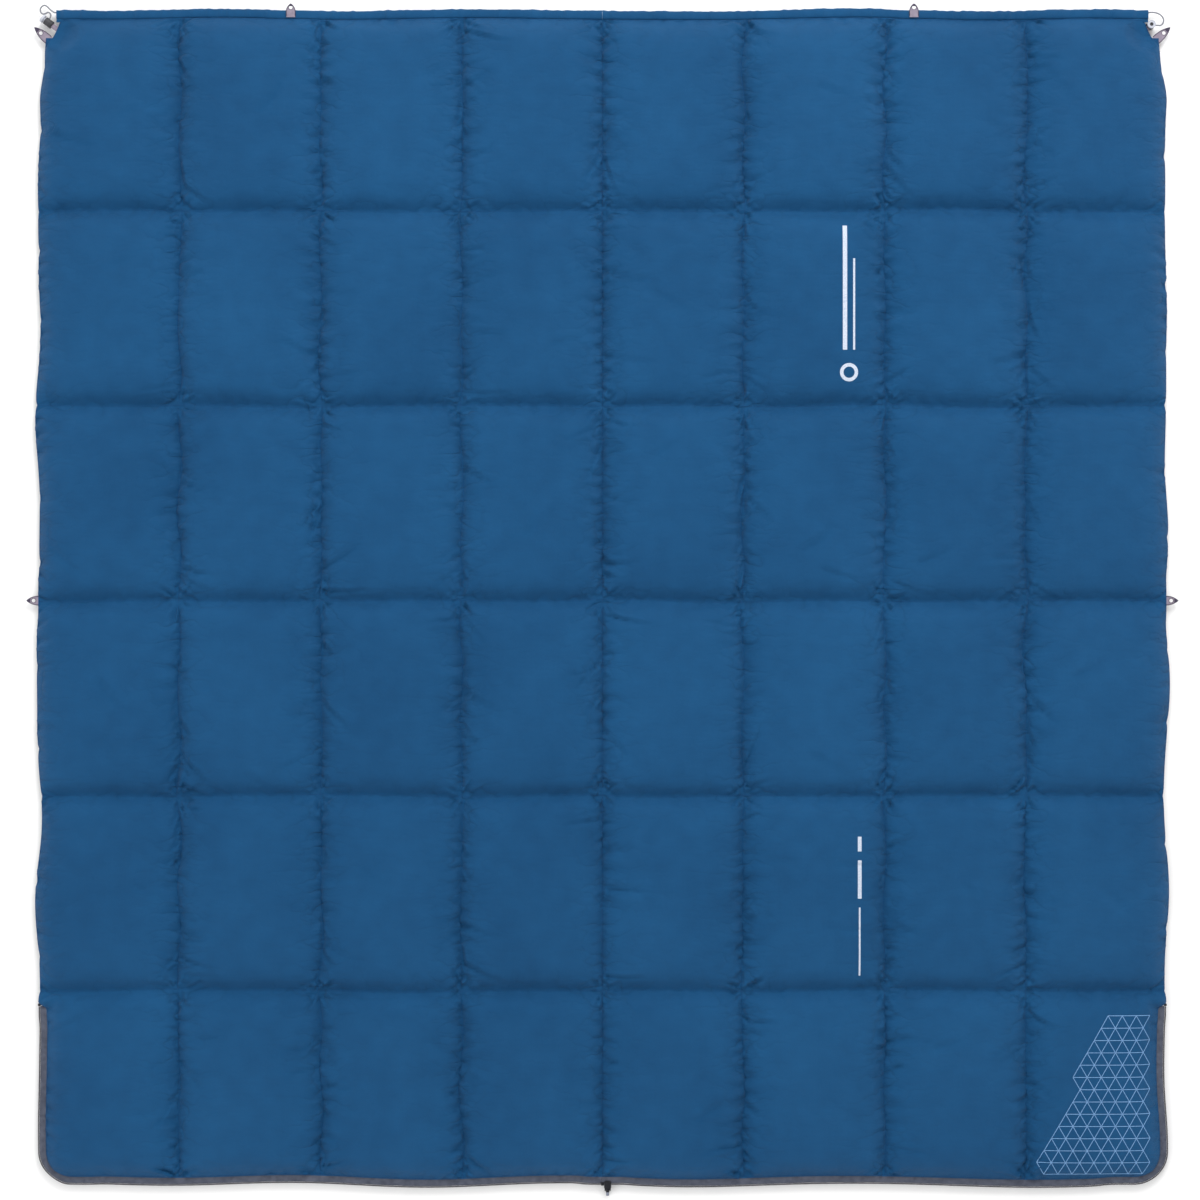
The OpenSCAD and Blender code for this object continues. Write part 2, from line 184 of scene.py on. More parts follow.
def tube_parts(route, radius, sides=12):
    """Points, faces and UVs in metres of a capped round tube along a route."""
    route = np.asarray(route, float)
    along = np.gradient(route, axis=0)
    along /= np.linalg.norm(along, axis=1, keepdims=True)
    upright = np.tile([0.0, 0.0, 1.0], (len(route), 1))
    upright[np.abs(along[:, 2]) > 0.95] = [1.0, 0.0, 0.0]
    across = np.cross(upright, along)
    across /= np.linalg.norm(across, axis=1, keepdims=True)
    up = np.cross(along, across)
    turn = np.arange(sides) * 2 * math.pi / sides
    ring = across[:, None] * np.cos(turn)[None, :, None] + up[:, None] * np.sin(turn)[None, :, None]
    verts = (route[:, None] + radius * ring).reshape(-1, 3)
    faces = [list(f) for f in grid_faces(len(route), sides, wrap=True)]
    faces.append(list(range(sides))[::-1])
    faces.append(list(range(len(verts) - sides, len(verts))))
    steps = np.linalg.norm(np.diff(route, axis=0), axis=1)
    run = np.concatenate([[0], np.cumsum(steps)])
    uvs = np.stack(np.meshgrid(turn * radius, run), -1).reshape(-1, 2)
    return verts, faces, uvs


def tube(name, route, radius, sides=12):
    verts, faces, uvs = tube_parts(route, radius, sides)
    return new_piece(name, verts, faces, uvs=uvs)


def capsules(name, starts, ends, radius, sides=6):
    """Many short round-ended rods in one mesh, such as stitches or zip teeth."""
    starts, ends = np.asarray(starts, float), np.asarray(ends, float)
    along = ends - starts
    along /= np.linalg.norm(along, axis=1, keepdims=True)
    guide = np.where(np.abs(along[:, 2:]) > 0.9, [[1.0, 0, 0]], [[0, 0, 1.0]])
    across = np.cross(guide, along)
    across /= np.linalg.norm(across, axis=1, keepdims=True)
    up = np.cross(along, across)
    turn = np.arange(sides) * 2 * math.pi / sides
    cos_turn, sin_turn = (f(turn)[None, :, None] for f in (np.cos, np.sin))
    ring = radius * (across[:, None] * cos_turn + up[:, None] * sin_turn)
    tips = [(starts - along * radius)[:, None], (ends + along * radius)[:, None]]
    verts = np.concatenate([tips[0], starts[:, None] + ring, ends[:, None] + ring, tips[1]], axis=1)
    count = verts.shape[1]
    faces = []
    for s in range(sides):
        t = (s + 1) % sides
        faces.append([0, 1 + t, 1 + s])
        faces.append([1 + s, 1 + t, 1 + sides + t])
        faces.append([1 + s, 1 + sides + t, 1 + sides + s])
        faces.append([count - 1, 1 + sides + s, 1 + sides + t])
    faces = (np.array(faces)[None] + np.arange(len(starts))[:, None, None] * count).reshape(-1, 3)
    return new_piece(name, verts, faces)


def joined(name, pieces):
    """One piece from several, keeping their material indices."""
    bm = bmesh.new()
    for part in pieces:
        bm.from_mesh(part.data)
    mesh = bpy.data.meshes.new(name)
    bm.to_mesh(mesh)
    bm.free()
    for part in pieces:
        bpy.data.objects.remove(part)
    piece = bpy.data.objects.new(name, mesh)
    bpy.context.scene.collection.objects.link(piece)
    return piece


def waves(x, y, wavelength, seed):
    """Smooth noise of about unit size: a sum of plane waves in random directions."""
    r = np.random.default_rng(seed)
    total = 0
    count = 14
    for _ in range(count):
        heading = r.uniform(0, 2 * math.pi)
        number = 2 * math.pi / (wavelength * r.uniform(0.75, 1.4))
        along = x * math.cos(heading) + y * math.sin(heading)
        total = total + np.cos(number * along + r.uniform(0, 6.3))
    return total / math.sqrt(count / 2)


def smoothstep(x, low, high):
    t = np.clip((x - low) / (high - low), 0, 1)
    return t * t * (3 - 2 * t)


# ---------- materials ----------

class Nodes:
    """Short names for building one material's node tree."""

    def __init__(self, name, **sockets):
        self.mat = bpy.data.materials.new(name)
        self.mat.use_nodes = True
        self.tree = self.mat.node_tree
        self.shader = self.tree.nodes["Principled BSDF"]
        self.where = self.tree.nodes.new("ShaderNodeTexCoord")
        for socket, value in sockets.items():
            self.shader.inputs[socket.replace("_", " ")].default_value = value

    def add(self, kind, inputs=None, **settings):
        node = self.tree.nodes.new("ShaderNode" + kind)
        for key, value in settings.items():
            setattr(node, key, value)
        for key, value in (inputs or {}).items():
            if isinstance(value, bpy.types.NodeSocket):
                self.tree.links.new(value, node.inputs[key])
            else:
                node.inputs[key].default_value = value
        return node

    def math(self, operation, a, b=0.0):
        return self.add("Math", {0: a, 1: b}, operation=operation).outputs[0]

    def times(self, a, b):
        return self.math("MULTIPLY", a, b)

    def plus(self, a, b):
        return self.math("ADD", a, b)

    def stretched(self, scale, coordinates="Object"):
        mapping = self.add("Mapping", {"Vector": self.where.outputs[coordinates], "Scale": scale})
        return mapping.outputs[0]

    def noise(self, scale, detail=3.0, vector=None):
        where = vector or self.where.outputs["Object"]
        return self.add("TexNoise", {"Vector": where, "Scale": scale, "Detail": detail}).outputs[0]

    def crease(self, scale, lean):
        """Sharp valleys between soft rolls, where cloudy noise crosses its middle value."""
        cloudy = self.noise(scale, 2.0, self.stretched((1.0, 1.7, lean)))
        return self.math("POWER", self.math("ABSOLUTE", self.math("SUBTRACT", cloudy, 0.5)), 0.5)

    def wave(self, scale, direction, distortion=0.0, vector=None):
        where = vector or self.where.outputs["Object"]
        inputs = {"Vector": where, "Scale": scale, "Distortion": distortion, "Detail Scale": 1.0}
        return self.add("TexWave", inputs, bands_direction=direction).outputs["Fac"]

    def ramp(self, value, *stops):
        node = self.add("ValToRGB", {0: value})
        ends = node.color_ramp.elements
        while len(ends) < len(stops):
            ends.new(0.5)
        for end, (place, color) in zip(ends, stops):
            end.position = place
            end.color = (*color, 1) if len(color) == 3 else color
        return node.outputs[0]

    def mix(self, factor, a, b, blend_type="MIX"):
        node = self.add("Mix", data_type="RGBA", blend_type=blend_type)
        for socket, value in ((0, factor), (6, a), (7, b)):
            if isinstance(value, bpy.types.NodeSocket):
                self.tree.links.new(value, node.inputs[socket])
            else:
                node.inputs[socket].default_value = (*value, 1) if isinstance(value, tuple) else value
        return node.outputs[2]

    def finish(self, color, rough=None, height=None, strength=0.3, distance=0.0005):
        self.tree.links.new(color, self.shader.inputs["Base Color"])
        if rough is not None:
            self.tree.links.new(rough, self.shader.inputs["Roughness"])
        if height is not None:
            bump = self.add("Bump", {"Height": height, "Strength": strength, "Distance": distance})
            self.tree.links.new(bump.outputs[0], self.shader.inputs["Normal"])
        return self.mat


def linear(r, g, b):
    """Scene-linear colour of an 8-bit display colour."""
    return tuple((c / 255 / 12.92) if c < 10 else ((c / 255 + 0.055) / 1.055) ** 2.4 for c in (r, g, b))


def woven_fabric(name, light, dark, thread, sheen, rough):
    """Plain-weave taffeta: crossed threads, faint slubs, cloudy wear, and crinkles near the seams whose
    valleys are darkened as painted shade.
    """
    n = Nodes(name, Sheen_Weight=sheen, Sheen_Roughness=0.45, Specular_IOR_Level=0.16)
    bands = math.pi / thread / 10
    warp = n.wave(bands, "X")
    weft = n.wave(bands, "Y")
    weave = n.times(warp, weft)
    slubs = n.noise(1.0, 2.0, n.stretched((60, 900, 60)))
    cloud = n.noise(3.5, 4.0)
    blotch = n.noise(28, 3.0)
    tone = n.plus(n.times(cloud, 0.65), n.times(blotch, 0.35))
    color = n.ramp(tone, (0.32, dark), (0.68, light))
    color = n.mix(n.times(slubs, 0.22), color, dark)
    color = n.mix(n.times(weave, 0.10), color, tuple(min(1, c * 1.6) for c in light))
    roughness = n.plus(n.times(blotch, 0.12), rough)
    near_seam = n.add("Attribute", attribute_name="near_seam").outputs["Fac"]
    rolls = n.crease(16, 0.5)
    # Painted shade: near the seams the colour is darkened along the crease valleys, where shade falls in the
    # crinkles.
    valleys = n.times(n.ramp(rolls, (0.0, (1, 1, 1)), (0.2, (0, 0, 0))), near_seam)
    color = n.mix(n.times(valleys, 0.4), color, tuple(c * 0.55 for c in dark))
    crinkle = n.plus(rolls, n.times(n.crease(34, 0.5), 0.5))
    crinkle = n.times(crinkle, n.plus(n.times(near_seam, 1.1), 0.09))
    fine = n.plus(n.times(weave, 0.05), n.times(n.noise(160, 3.0), 0.05))
    return n.finish(color, roughness, n.plus(crinkle, fine), strength=0.8, distance=0.0085)


def webbing_material(name, light, dark, rib):
    """Ribbed grosgrain or zip tape: ribs across, cloudy fade, darker where it is handled."""
    n = Nodes(name, Sheen_Weight=0.25, Sheen_Roughness=0.5, Specular_IOR_Level=0.3)
    bands = math.pi / rib / 10
    ribs = n.wave(bands, "DIAGONAL")
    cross = n.wave(bands * 0.7, "X", 0.5)
    cloud = n.noise(120, 4.0)
    color = n.ramp(cloud, (0.3, dark), (0.7, light))
    color = n.mix(n.times(ribs, 0.35), color, dark)
    height = n.plus(ribs, n.times(cross, 0.6))
    return n.finish(color, n.plus(n.times(cloud, 0.2), 0.62), height, 0.5, 0.0003)


def moulded(name, color, scuffed, rough):
    """Moulded plastic or die-cast metal: fine grain, scuffs on the high spots."""
    n = Nodes(name, Specular_IOR_Level=0.5)
    grain = n.noise(2600, 2.0)
    scuff = n.noise(420, 5.0)
    edge = n.add("NewGeometry").outputs["Pointiness"]
    worn = n.ramp(edge, (0.52, (0, 0, 0)), (0.62, (1, 1, 1)))
    amount = n.times(n.plus(worn, n.times(scuff, 0.4)), 0.35)
    tint = n.mix(amount, color, scuffed)
    return n.finish(tint, n.plus(n.times(scuff, 0.25), rough), grain, 0.25, 0.0002)


def metal(name, color, worn, rough):
    n = Nodes(name, Metallic=0.85, Specular_IOR_Level=0.5)
    brush = n.noise(1.0, 4.0, n.stretched((400, 5000, 400)))
    patches = n.noise(700, 4.0)
    amount = n.times(n.ramp(patches, (0.5, (0, 0, 0)), (0.8, (1, 1, 1))), 0.3)
    tint = n.mix(amount, color, worn)
    return n.finish(tint, n.plus(n.times(brush, 0.25), rough), brush, 0.2, 0.0002)


def braided_cord(name, light, dark, pitch, radius):
    """Braided sheath over elastic: two spiral sets of strands, drawn from the tube's own UVs."""
    n = Nodes(name, Sheen_Weight=0.2, Sheen_Roughness=0.5)
    around = 1 / radius
    lengthwise = n.wave(0.5, "X", 0.0, n.stretched((around, 0, 0), "UV"))
    spirals = []
    for way in (1, -1):
        spiral = n.stretched((way * around, 1 / pitch, 0), "UV")
        spirals.append(n.wave(0.6, "DIAGONAL", 0.0, spiral))
    strands = n.math("MAXIMUM", *spirals)
    fuzz = n.noise(1500, 3.0)
    color = n.ramp(n.plus(n.times(strands, 0.7), n.times(fuzz, 0.3)),
                   (0.25, dark), (0.8, light))
    height = n.plus(strands, n.times(lengthwise, 0.2))
    return n.finish(color, n.plus(n.times(fuzz, 0.2), 0.6), height, 0.6, 0.0004)


def twisted_thread(name, light, dark):
    n = Nodes(name, Sheen_Weight=0.05, Specular_IOR_Level=0.15)
    ply = n.wave(math.pi / 0.0011 / 10, "DIAGONAL")
    fuzz = n.noise(900, 3.0)
    color = n.ramp(n.plus(n.times(ply, 0.6), n.times(fuzz, 0.4)),
                   (0.3, dark), (0.75, light))
    return n.finish(color, n.plus(n.times(fuzz, 0.2), 0.5), ply, 0.4, 0.0002)


def clustered_down(name):
    n = Nodes(name, Sheen_Weight=0.5, Sheen_Roughness=0.6)
    where = n.where.outputs["Object"]
    clusters = n.add("TexVoronoi", {"Vector": where, "Scale": 90.0}).outputs["Distance"]
    fluff = n.noise(350, 6.0)
    color = n.ramp(clusters, (0.1, linear(240, 238, 232)), (0.7, linear(214, 208, 198)))
    height = n.plus(clusters, n.times(fluff, 0.6))
    return n.finish(color, n.plus(n.times(fluff, 0.1), 0.85), height, 0.7, 0.004)


# ---------- plan of the cloth ----------

def wander(points, amount=1.0):
    """The edges aren't straight: moves points near the edges in and out, but not at the fittings."""
    p = np.array(points, float)
    x, y = p[..., 0], p[..., 1]
    reach = 0.12
    near_side = smoothstep(np.abs(x), HALF_W - reach, HALF_W)
    near_foot = smoothstep(-y, -FOOT_Y - reach, -FOOT_Y)
    near_neck = smoothstep(y, NECK_Y - reach, NECK_Y)
    free = np.ones_like(x)
    fittings = [(0.01, FOOT_Y, 0.03), (0.889, FOOT_Y, 0.04), (0.945, NECK_Y, 0.07), (0.53, NECK_Y, 0.04),
                (HALF_W, ROW_LINES[3], 0.04), (HALF_W, ZIP_TOP_Y, 0.03)]
    for fx, fy, room in fittings:
        free *= 1 - np.exp(-(((np.abs(x) - fx) ** 2 + (y - fy) ** 2) / room**2) ** 2)
    p[..., 0] += amount * 0.0026 * free * near_side * waves(x * 0.3, y, 0.26, 11)
    foot_swing = 0.0030 * waves(x, y * 0.3, 0.34, 12) + 0.004 * np.exp(-np.abs(x) / 0.12)
    p[..., 1] += amount * free * near_foot * foot_swing
    p[..., 1] += amount * 0.0016 * free * near_neck * waves(x, y * 0.3, 0.4, 13)
    return p


def graded(stops, count, crowd):
    """Lines between the stops, count to each gap, crowded towards the stops by crowd, from 0 to 1."""
    t = np.arange(count) / count
    t = t - crowd * np.sin(2 * math.pi * t) / (2 * math.pi)
    return np.concatenate([a + (b - a) * t for a, b in zip(stops, stops[1:])] + [[stops[-1]]])


# Heights of the small pinches in each side edge, from the foot edge.
PINCHES = {
    "right": (0.12, 0.331, 0.44, 0.58, 0.663, 0.79, 0.91, 1.10, 1.21, 1.326, 1.42, 1.53, 1.658, 1.76, 1.92),
    "left": (0.16, 0.331, 0.39, 0.52, 0.663, 0.74, 0.88, 1.06, 1.17, 1.326, 1.47, 1.59, 1.658, 1.81, 1.93),
}


def side_pinches(x, y):
    """How far the side edge is pulled in, at heights y on the side of x."""
    inset = 0 * y
    for name, side in SIDES.items():
        for k, height in enumerate(PINCHES[name]):
            depth = 0.0025 + 0.002 * math.sin(3.1 * k)
            inset += depth * np.exp(-np.abs(y - FOOT_Y - height) / 0.007) * (np.sign(x) == side)
    return inset


def plan_grid(across, along, edge_in):
    """Flat plan of the whole quilt: (rows, columns, 2) points, with a grid line on every seam."""
    x, y = np.meshgrid(graded(COLUMN_LINES, across, 0.62), graded(ROW_LINES, along, 0.35))
    side = np.sign(x)
    last_seam = HALF_W - CELL_W
    inset = edge_in + TAPE_SHOW * (1 - smoothstep(y, ZIP_TOP_Y - 0.006, ZIP_TOP_Y + 0.006))
    inset += 0.014 * smoothstep(y, NECK_Y - 0.14, NECK_Y - 0.05)
    inset += side_pinches(x, y) * smoothstep(y, ZIP_TOP_Y - 0.01, ZIP_TOP_Y + 0.01)
    beyond = np.maximum(np.abs(x) - last_seam, 0)
    x = side * (np.minimum(np.abs(x), last_seam) + beyond * (CELL_W - inset) / CELL_W)
    neck_drop = 0.033 * smoothstep(np.abs(x), CHANNEL_END_X - 0.011, CHANNEL_END_X + 0.007)
    beyond = np.maximum(y - ROW_LINES[-2], 0)
    full = FABRIC_NECK_Y - ROW_LINES[-2]
    y = y - beyond * neck_drop / full

    # The foot corners: the square outside the arc's centre is drawn in to a quarter disc.
    arc_r = FOOT_CORNER_R - TAPE_SHOW
    cx, cy = HALF_W - FOOT_CORNER_R, FOOT_Y + FOOT_CORNER_R
    u = np.maximum(np.abs(x) - cx, 0) / arc_r
    v = np.maximum(cy - y, 0) / arc_r
    scale = np.where((u > 0) & (v > 0), np.maximum(u, v) / np.maximum(np.hypot(u, v), 1e-9), 1)
    x = np.where(u > 0, side * (cx + u * scale * arc_r), x)
    y = np.where(v > 0, cy - v * scale * arc_r, y)

    # The vertical seams wander a little where the quilt has been gathered; the rest follows.
    inner = 1 - smoothstep(np.abs(x), last_seam, HALF_W - 0.03)
    off_middle = smoothstep(np.abs(x), 0.01, 0.1)
    x = x + 0.0019 * inner * off_middle * waves(x * 2.2, y, 0.17, 21)
    y = y + 0.0012 * waves(x, y * 2.2, 0.30, 22) * smoothstep(0.9 - np.abs(y), 0.0, 0.12)
    return wander(np.stack([x, y], -1))


def seam_distance(grid_x, grid_y):
    """Distance of flat points from the nearest vertical and the nearest horizontal seam."""
    to_column = np.min([np.abs(grid_x - line) for line in COLUMN_LINES], axis=0)
    to_row = np.min([np.abs(grid_y - line) for line in ROW_LINES], axis=0)
    return to_column, to_row


# ---------- cloth simulation ----------

def pull(a, b, rest, stiff, only_short=False):
    """Moves linked points a and b towards their rest distance."""
    d = b - a
    length = np.sqrt(np.einsum("...k,...k->...", d, d)) + 1e-12
    stretch = (length - rest) / length
    if only_short:
        stretch = np.minimum(stretch, 0)
    move = (0.5 * stiff) * stretch[..., None] * d
    a += move
    b -= move


def surface_normals(p):
    dx = np.empty_like(p)
    dy = np.empty_like(p)
    dx[:, 1:-1] = p[:, 2:] - p[:, :-2]
    dx[:, 0] = p[:, 1] - p[:, 0]
    dx[:, -1] = p[:, -1] - p[:, -2]
    dy[1:-1] = p[2:] - p[:-2]
    dy[0] = p[1] - p[0]
    dy[-1] = p[-1] - p[-2]
    n = np.cross(dx, dy)
    return n / (np.linalg.norm(n, axis=-1, keepdims=True) + 1e-12)


def relax(p, pinned, rest_x, rest_y, steps, push, lowest, highest):
    """Cloth simulation of a grid by Verlet steps: threads keep their length, fill pushes outwards."""
    held = p[pinned].copy()
    before = p.copy()
    step_x = np.linalg.norm(np.diff(p, axis=1), axis=-1)[:-1]
    step_y = np.linalg.norm(np.diff(p, axis=0), axis=-1)[:, :-1]
    growth = (rest_x[:-1] + rest_y[:, :-1]) / (step_x + step_y)
    rising = growth * np.linalg.norm(p[1:, 1:] - p[:-1, :-1], axis=-1)
    falling = growth * np.linalg.norm(p[1:, :-1] - p[:-1, 1:], axis=-1)
    for _ in range(steps):
        speed = (p - before) * 0.92
        before = p.copy()
        p += speed + push[..., None] * surface_normals(p)
        for s in (0, 1):
            n = (p.shape[1] - s) // 2
            pull(p[:, s:-1:2][:, :n], p[:, s + 1::2], rest_x[:, s::2], 1.0)
            m = (p.shape[0] - s) // 2
            pull(p[s:-1:2][:m], p[s + 1::2], rest_y[s::2], 1.0)
        for s in (0, 1):
            n = (p.shape[1] - s) // 2
            pull(p[:-1, s:s + 2 * n:2], p[1:, s + 1:s + 2 * n:2], rising[:, s::2][:, :n], 0.25)
            pull(p[1:, s:s + 2 * n:2], p[:-1, s + 1:s + 2 * n:2], falling[:, s::2][:, :n], 0.25)
        for q, rest in ((p, rest_x), (p.transpose(1, 0, 2), rest_y.T)):
            double = rest[:, 1:] + rest[:, :-1]
            for s in range(4):
                a = q[:, s:q.shape[1] - 2:4]
                b = q[:, s + 2::4][:, :a.shape[1]]
                a = a[:, :b.shape[1]]
                pull(a, b, double[:, s::4][:, :b.shape[1]] * 0.97, 0.3, True)
        p[pinned] = held
        np.clip(p[..., 2], lowest, highest, out=p[..., 2])
    return p


def quilted_sheet(across, along, seam_z, crown_z, lowest, highest, seed, edge_in=0.0):
    """One layer of fabric, stitched along every seam and puffed by the fill, up or down to crown_z."""
    flat = plan_grid(across, along, edge_in)
    x, y = flat[..., 0], flat[..., 1]
    nj, ni = x.shape
    up = 1 if crown_z > seam_z else -1
    through_x = np.abs(np.sin(np.arange(ni) * math.pi / across))[None]
    through_y = np.abs(np.sin(np.arange(nj) * math.pi / along))[:, None]
    dome = (through_x * through_y) ** 0.7
    p = np.zeros((nj, ni, 3))
    p[..., :2] = flat
    cell_size = 0.75 + 0.25 * waves(x, y, 0.45, seed)
    p[..., 2] = seam_z + 0.72 * (crown_z - seam_z) * dome * np.clip(cell_size, 0.7, 1.0)
    p[..., 2] += up * 0.0007 * waves(x, y, 0.03, seed + 1) * dome

    pinned = np.zeros((nj, ni), bool)
    pinned[::along] = True
    pinned[:, ::across] = True
    pinned[-1] = pinned[0] = True
    rest_x = np.linalg.norm(np.diff(flat, axis=1), axis=-1)
    rest_y = np.linalg.norm(np.diff(flat, axis=0), axis=-1)
    to_column, to_row = seam_distance(x, y)
    patchy = np.clip(0.5 + 0.6 * waves(x, y, 0.11, seed + 2), 0, 1.6)
    corner = np.hypot(HALF_W - np.abs(x), NECK_Y - y)
    plain = smoothstep(corner, 0.10, 0.26)
    gather_y = (0.017 + 0.095 * np.exp(-to_column / 0.030) * patchy) * (0.1 + 0.9 * plain)
    gather_x = (0.030 + 0.026 * np.exp(-to_row / 0.020) * patchy) * (0.1 + 0.9 * plain)
    rest_x = rest_x * (1 + gather_x[:, 1:])
    rest_y = rest_y * (1 + gather_y[1:])
    push = np.full((nj, ni), up * 0.000010)
    steps = 150
    return relax(p, pinned, rest_x, rest_y, steps, push, lowest, highest)


def crease(p, start, heading, length, width, depth):
    """Presses one sharp crease with a soft lip beside it into a patch of cloth."""
    dx = p[..., 0] - start[0]
    dy = p[..., 1] - start[1]
    through = (dx * math.cos(heading) + dy * math.sin(heading)) / length
    beside = (dy * math.cos(heading) - dx * math.sin(heading)) / width
    beside = beside + 0.8 * np.sin(5 * through) * through
    taper = smoothstep(through, 0.0, 0.12) * (1 - smoothstep(through, 0.3, 1.0))
    p[..., 2] += depth * taper * (0.7 * np.exp(-((beside - 1.7) ** 2)) - np.exp(-(beside**2)))


def press_creases(p, across, along):
    """Fans of creases from the vertical seams, stars at the crossings and a few long diagonals."""
    for row in range(ROWS):
        for column in range(COLUMNS):
            j, i = row * along, column * across
            cell = p[j + 1:j + along, i + 1:i + across]
            for side, seam_x in ((1, COLUMN_LINES[column]), (-1, COLUMN_LINES[column + 1])):
                if abs(seam_x) > HALF_W - 0.01:
                    continue
                lean = rng.uniform(-0.9, 0.3)
                y = ROW_LINES[row] + rng.uniform(0.01, 0.06)
                while y < ROW_LINES[row + 1] - 0.02:
                    heading = lean + rng.normal(0, 0.35)
                    heading = heading if side > 0 else math.pi - heading
                    length = 0.02 + 0.09 * rng.random() ** 2
                    width, depth = rng.uniform(0.0024, 0.0034), rng.uniform(0.0015, 0.005)
                    crease(cell, (seam_x, y), heading, length, width, depth)
                    y += rng.uniform(0.008, 0.03) if rng.random() < 0.72 else rng.uniform(0.06, 0.13)
                for end, seam_y in ((1, ROW_LINES[row]), (-1, ROW_LINES[row + 1])):
                    for _ in range(4):
                        heading = rng.uniform(0.25, 1.35) * end
                        heading = heading if side > 0 else math.pi - heading
                        length, depth = rng.uniform(0.02, 0.06), rng.uniform(0.002, 0.0045)
                        crease(cell, (seam_x, seam_y), heading, length, 0.0028, depth)
            for _ in range(rng.integers(0, 3)):
                start = (rng.uniform(COLUMN_LINES[column], COLUMN_LINES[column + 1] - 0.06),
                         rng.uniform(ROW_LINES[row] + 0.03, ROW_LINES[row + 1] - 0.06))
                heading, length = rng.uniform(-1.2, 1.2), rng.uniform(0.05, 0.12)
                crease(cell, start, heading, length, 0.0045, rng.uniform(0.0012, 0.003))


def soft_ceiling(z, start, top):
    """Keeps heights under top, bending over smoothly from start."""
    room = top - start
    return np.where(z > start, start + room * (1 - np.exp(-(z - start) / room)), z)


def soften_rows(p):
    """Lets the puffed fabric rise gently from the horizontal seams."""
    to_row = np.min([np.abs(p[..., 1] - line) for line in ROW_LINES[1:-1]], axis=0)
    p[..., 2] -= 0.55 * np.exp(-to_row / 0.012) * (p[..., 2] - SEAM_Z - SEW_GAP)


def flatten_at_locks(p):
    """Presses the puffed fabric down beside the cord locks at the neck corners."""
    away = np.hypot(np.abs(p[..., 0]) - LOCK_X, p[..., 1] - (NECK_Y - LOCK_IN))
    cap = SEAM_Z + SEW_GAP + LOFT_Z * smoothstep(away, 0.018, 0.09)
    p[..., 2] = np.minimum(p[..., 2], cap)


def half_grid(p, side):
    """The right or left half of a whole-quilt grid, the middle line included."""
    middle = p.shape[1] // 2
    return p[:, middle:] if side > 0 else p[:, :middle + 1]


# ---------- putting pieces on the frame ----------

def place(piece, node, body, material, slot, crosses_fold=False):
    """Gives a piece its materials, the CAD node it replaces and its body; slot is not used."""
    for one in material if isinstance(material, tuple) else (material,):
        piece.data.materials.append(one)
    if node:
        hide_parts(node)
    if crosses_fold:
        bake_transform(piece)
    else:
        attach(piece, body)
    return piece


def half_body(side):
    return "right_half" if side > 0 else "left_half"


# ---------- shell, lining and fill ----------

def make_layers(shell, lining, mats):
    for name, side in SIDES.items():
        for node, grid, material, slot in (
            ("outer_shell_", shell, mats["shell"], "shell_fabric"),
            ("lining_", lining, mats["lining"], "lining_fabric"),
        ):
            half = half_grid(grid, side)
            faces = grid_faces(*half.shape[:2])
            if node == "lining_":
                faces = faces[:, ::-1]
            piece = new_piece(node + name + "_cloth", half, faces)
            to_column, to_row = seam_distance(half[..., 0], half[..., 1])
            # near_seam places the crinkle bumps and the painted crease shade of the fabric material near the
            # seams.
            near_seam = piece.data.attributes.new("near_seam", "FLOAT", "POINT")
            closeness = np.exp(-to_column / 0.030) + 0.5 * np.exp(-to_row / 0.018)
            near_seam.data.foreach_set("value", np.clip(closeness, 0, 1).astype(np.float32).ravel())
            place(piece, node + name, half_body(side), material, slot, crosses_fold=side < 0)


def sample(grid, rows, columns):
    """Points of a cloth grid at fractional row and column indices."""
    j0 = np.clip(np.floor(rows).astype(int), 0, grid.shape[0] - 2)
    i0 = np.clip(np.floor(columns).astype(int), 0, grid.shape[1] - 2)
    v = (rows - j0)[..., None]
    u = (columns - i0)[..., None]
    return ((grid[j0, i0] * (1 - u) + grid[j0, i0 + 1] * u) * (1 - v)
            + (grid[j0 + 1, i0] * (1 - u) + grid[j0 + 1, i0 + 1] * u) * v)


def cell_points(grid, rows, columns):
    """Points of a cloth grid at fractional places counted in cells."""
    return sample(grid, rows * (grid.shape[0] - 1) / ROWS, columns * (grid.shape[1] - 1) / COLUMNS)


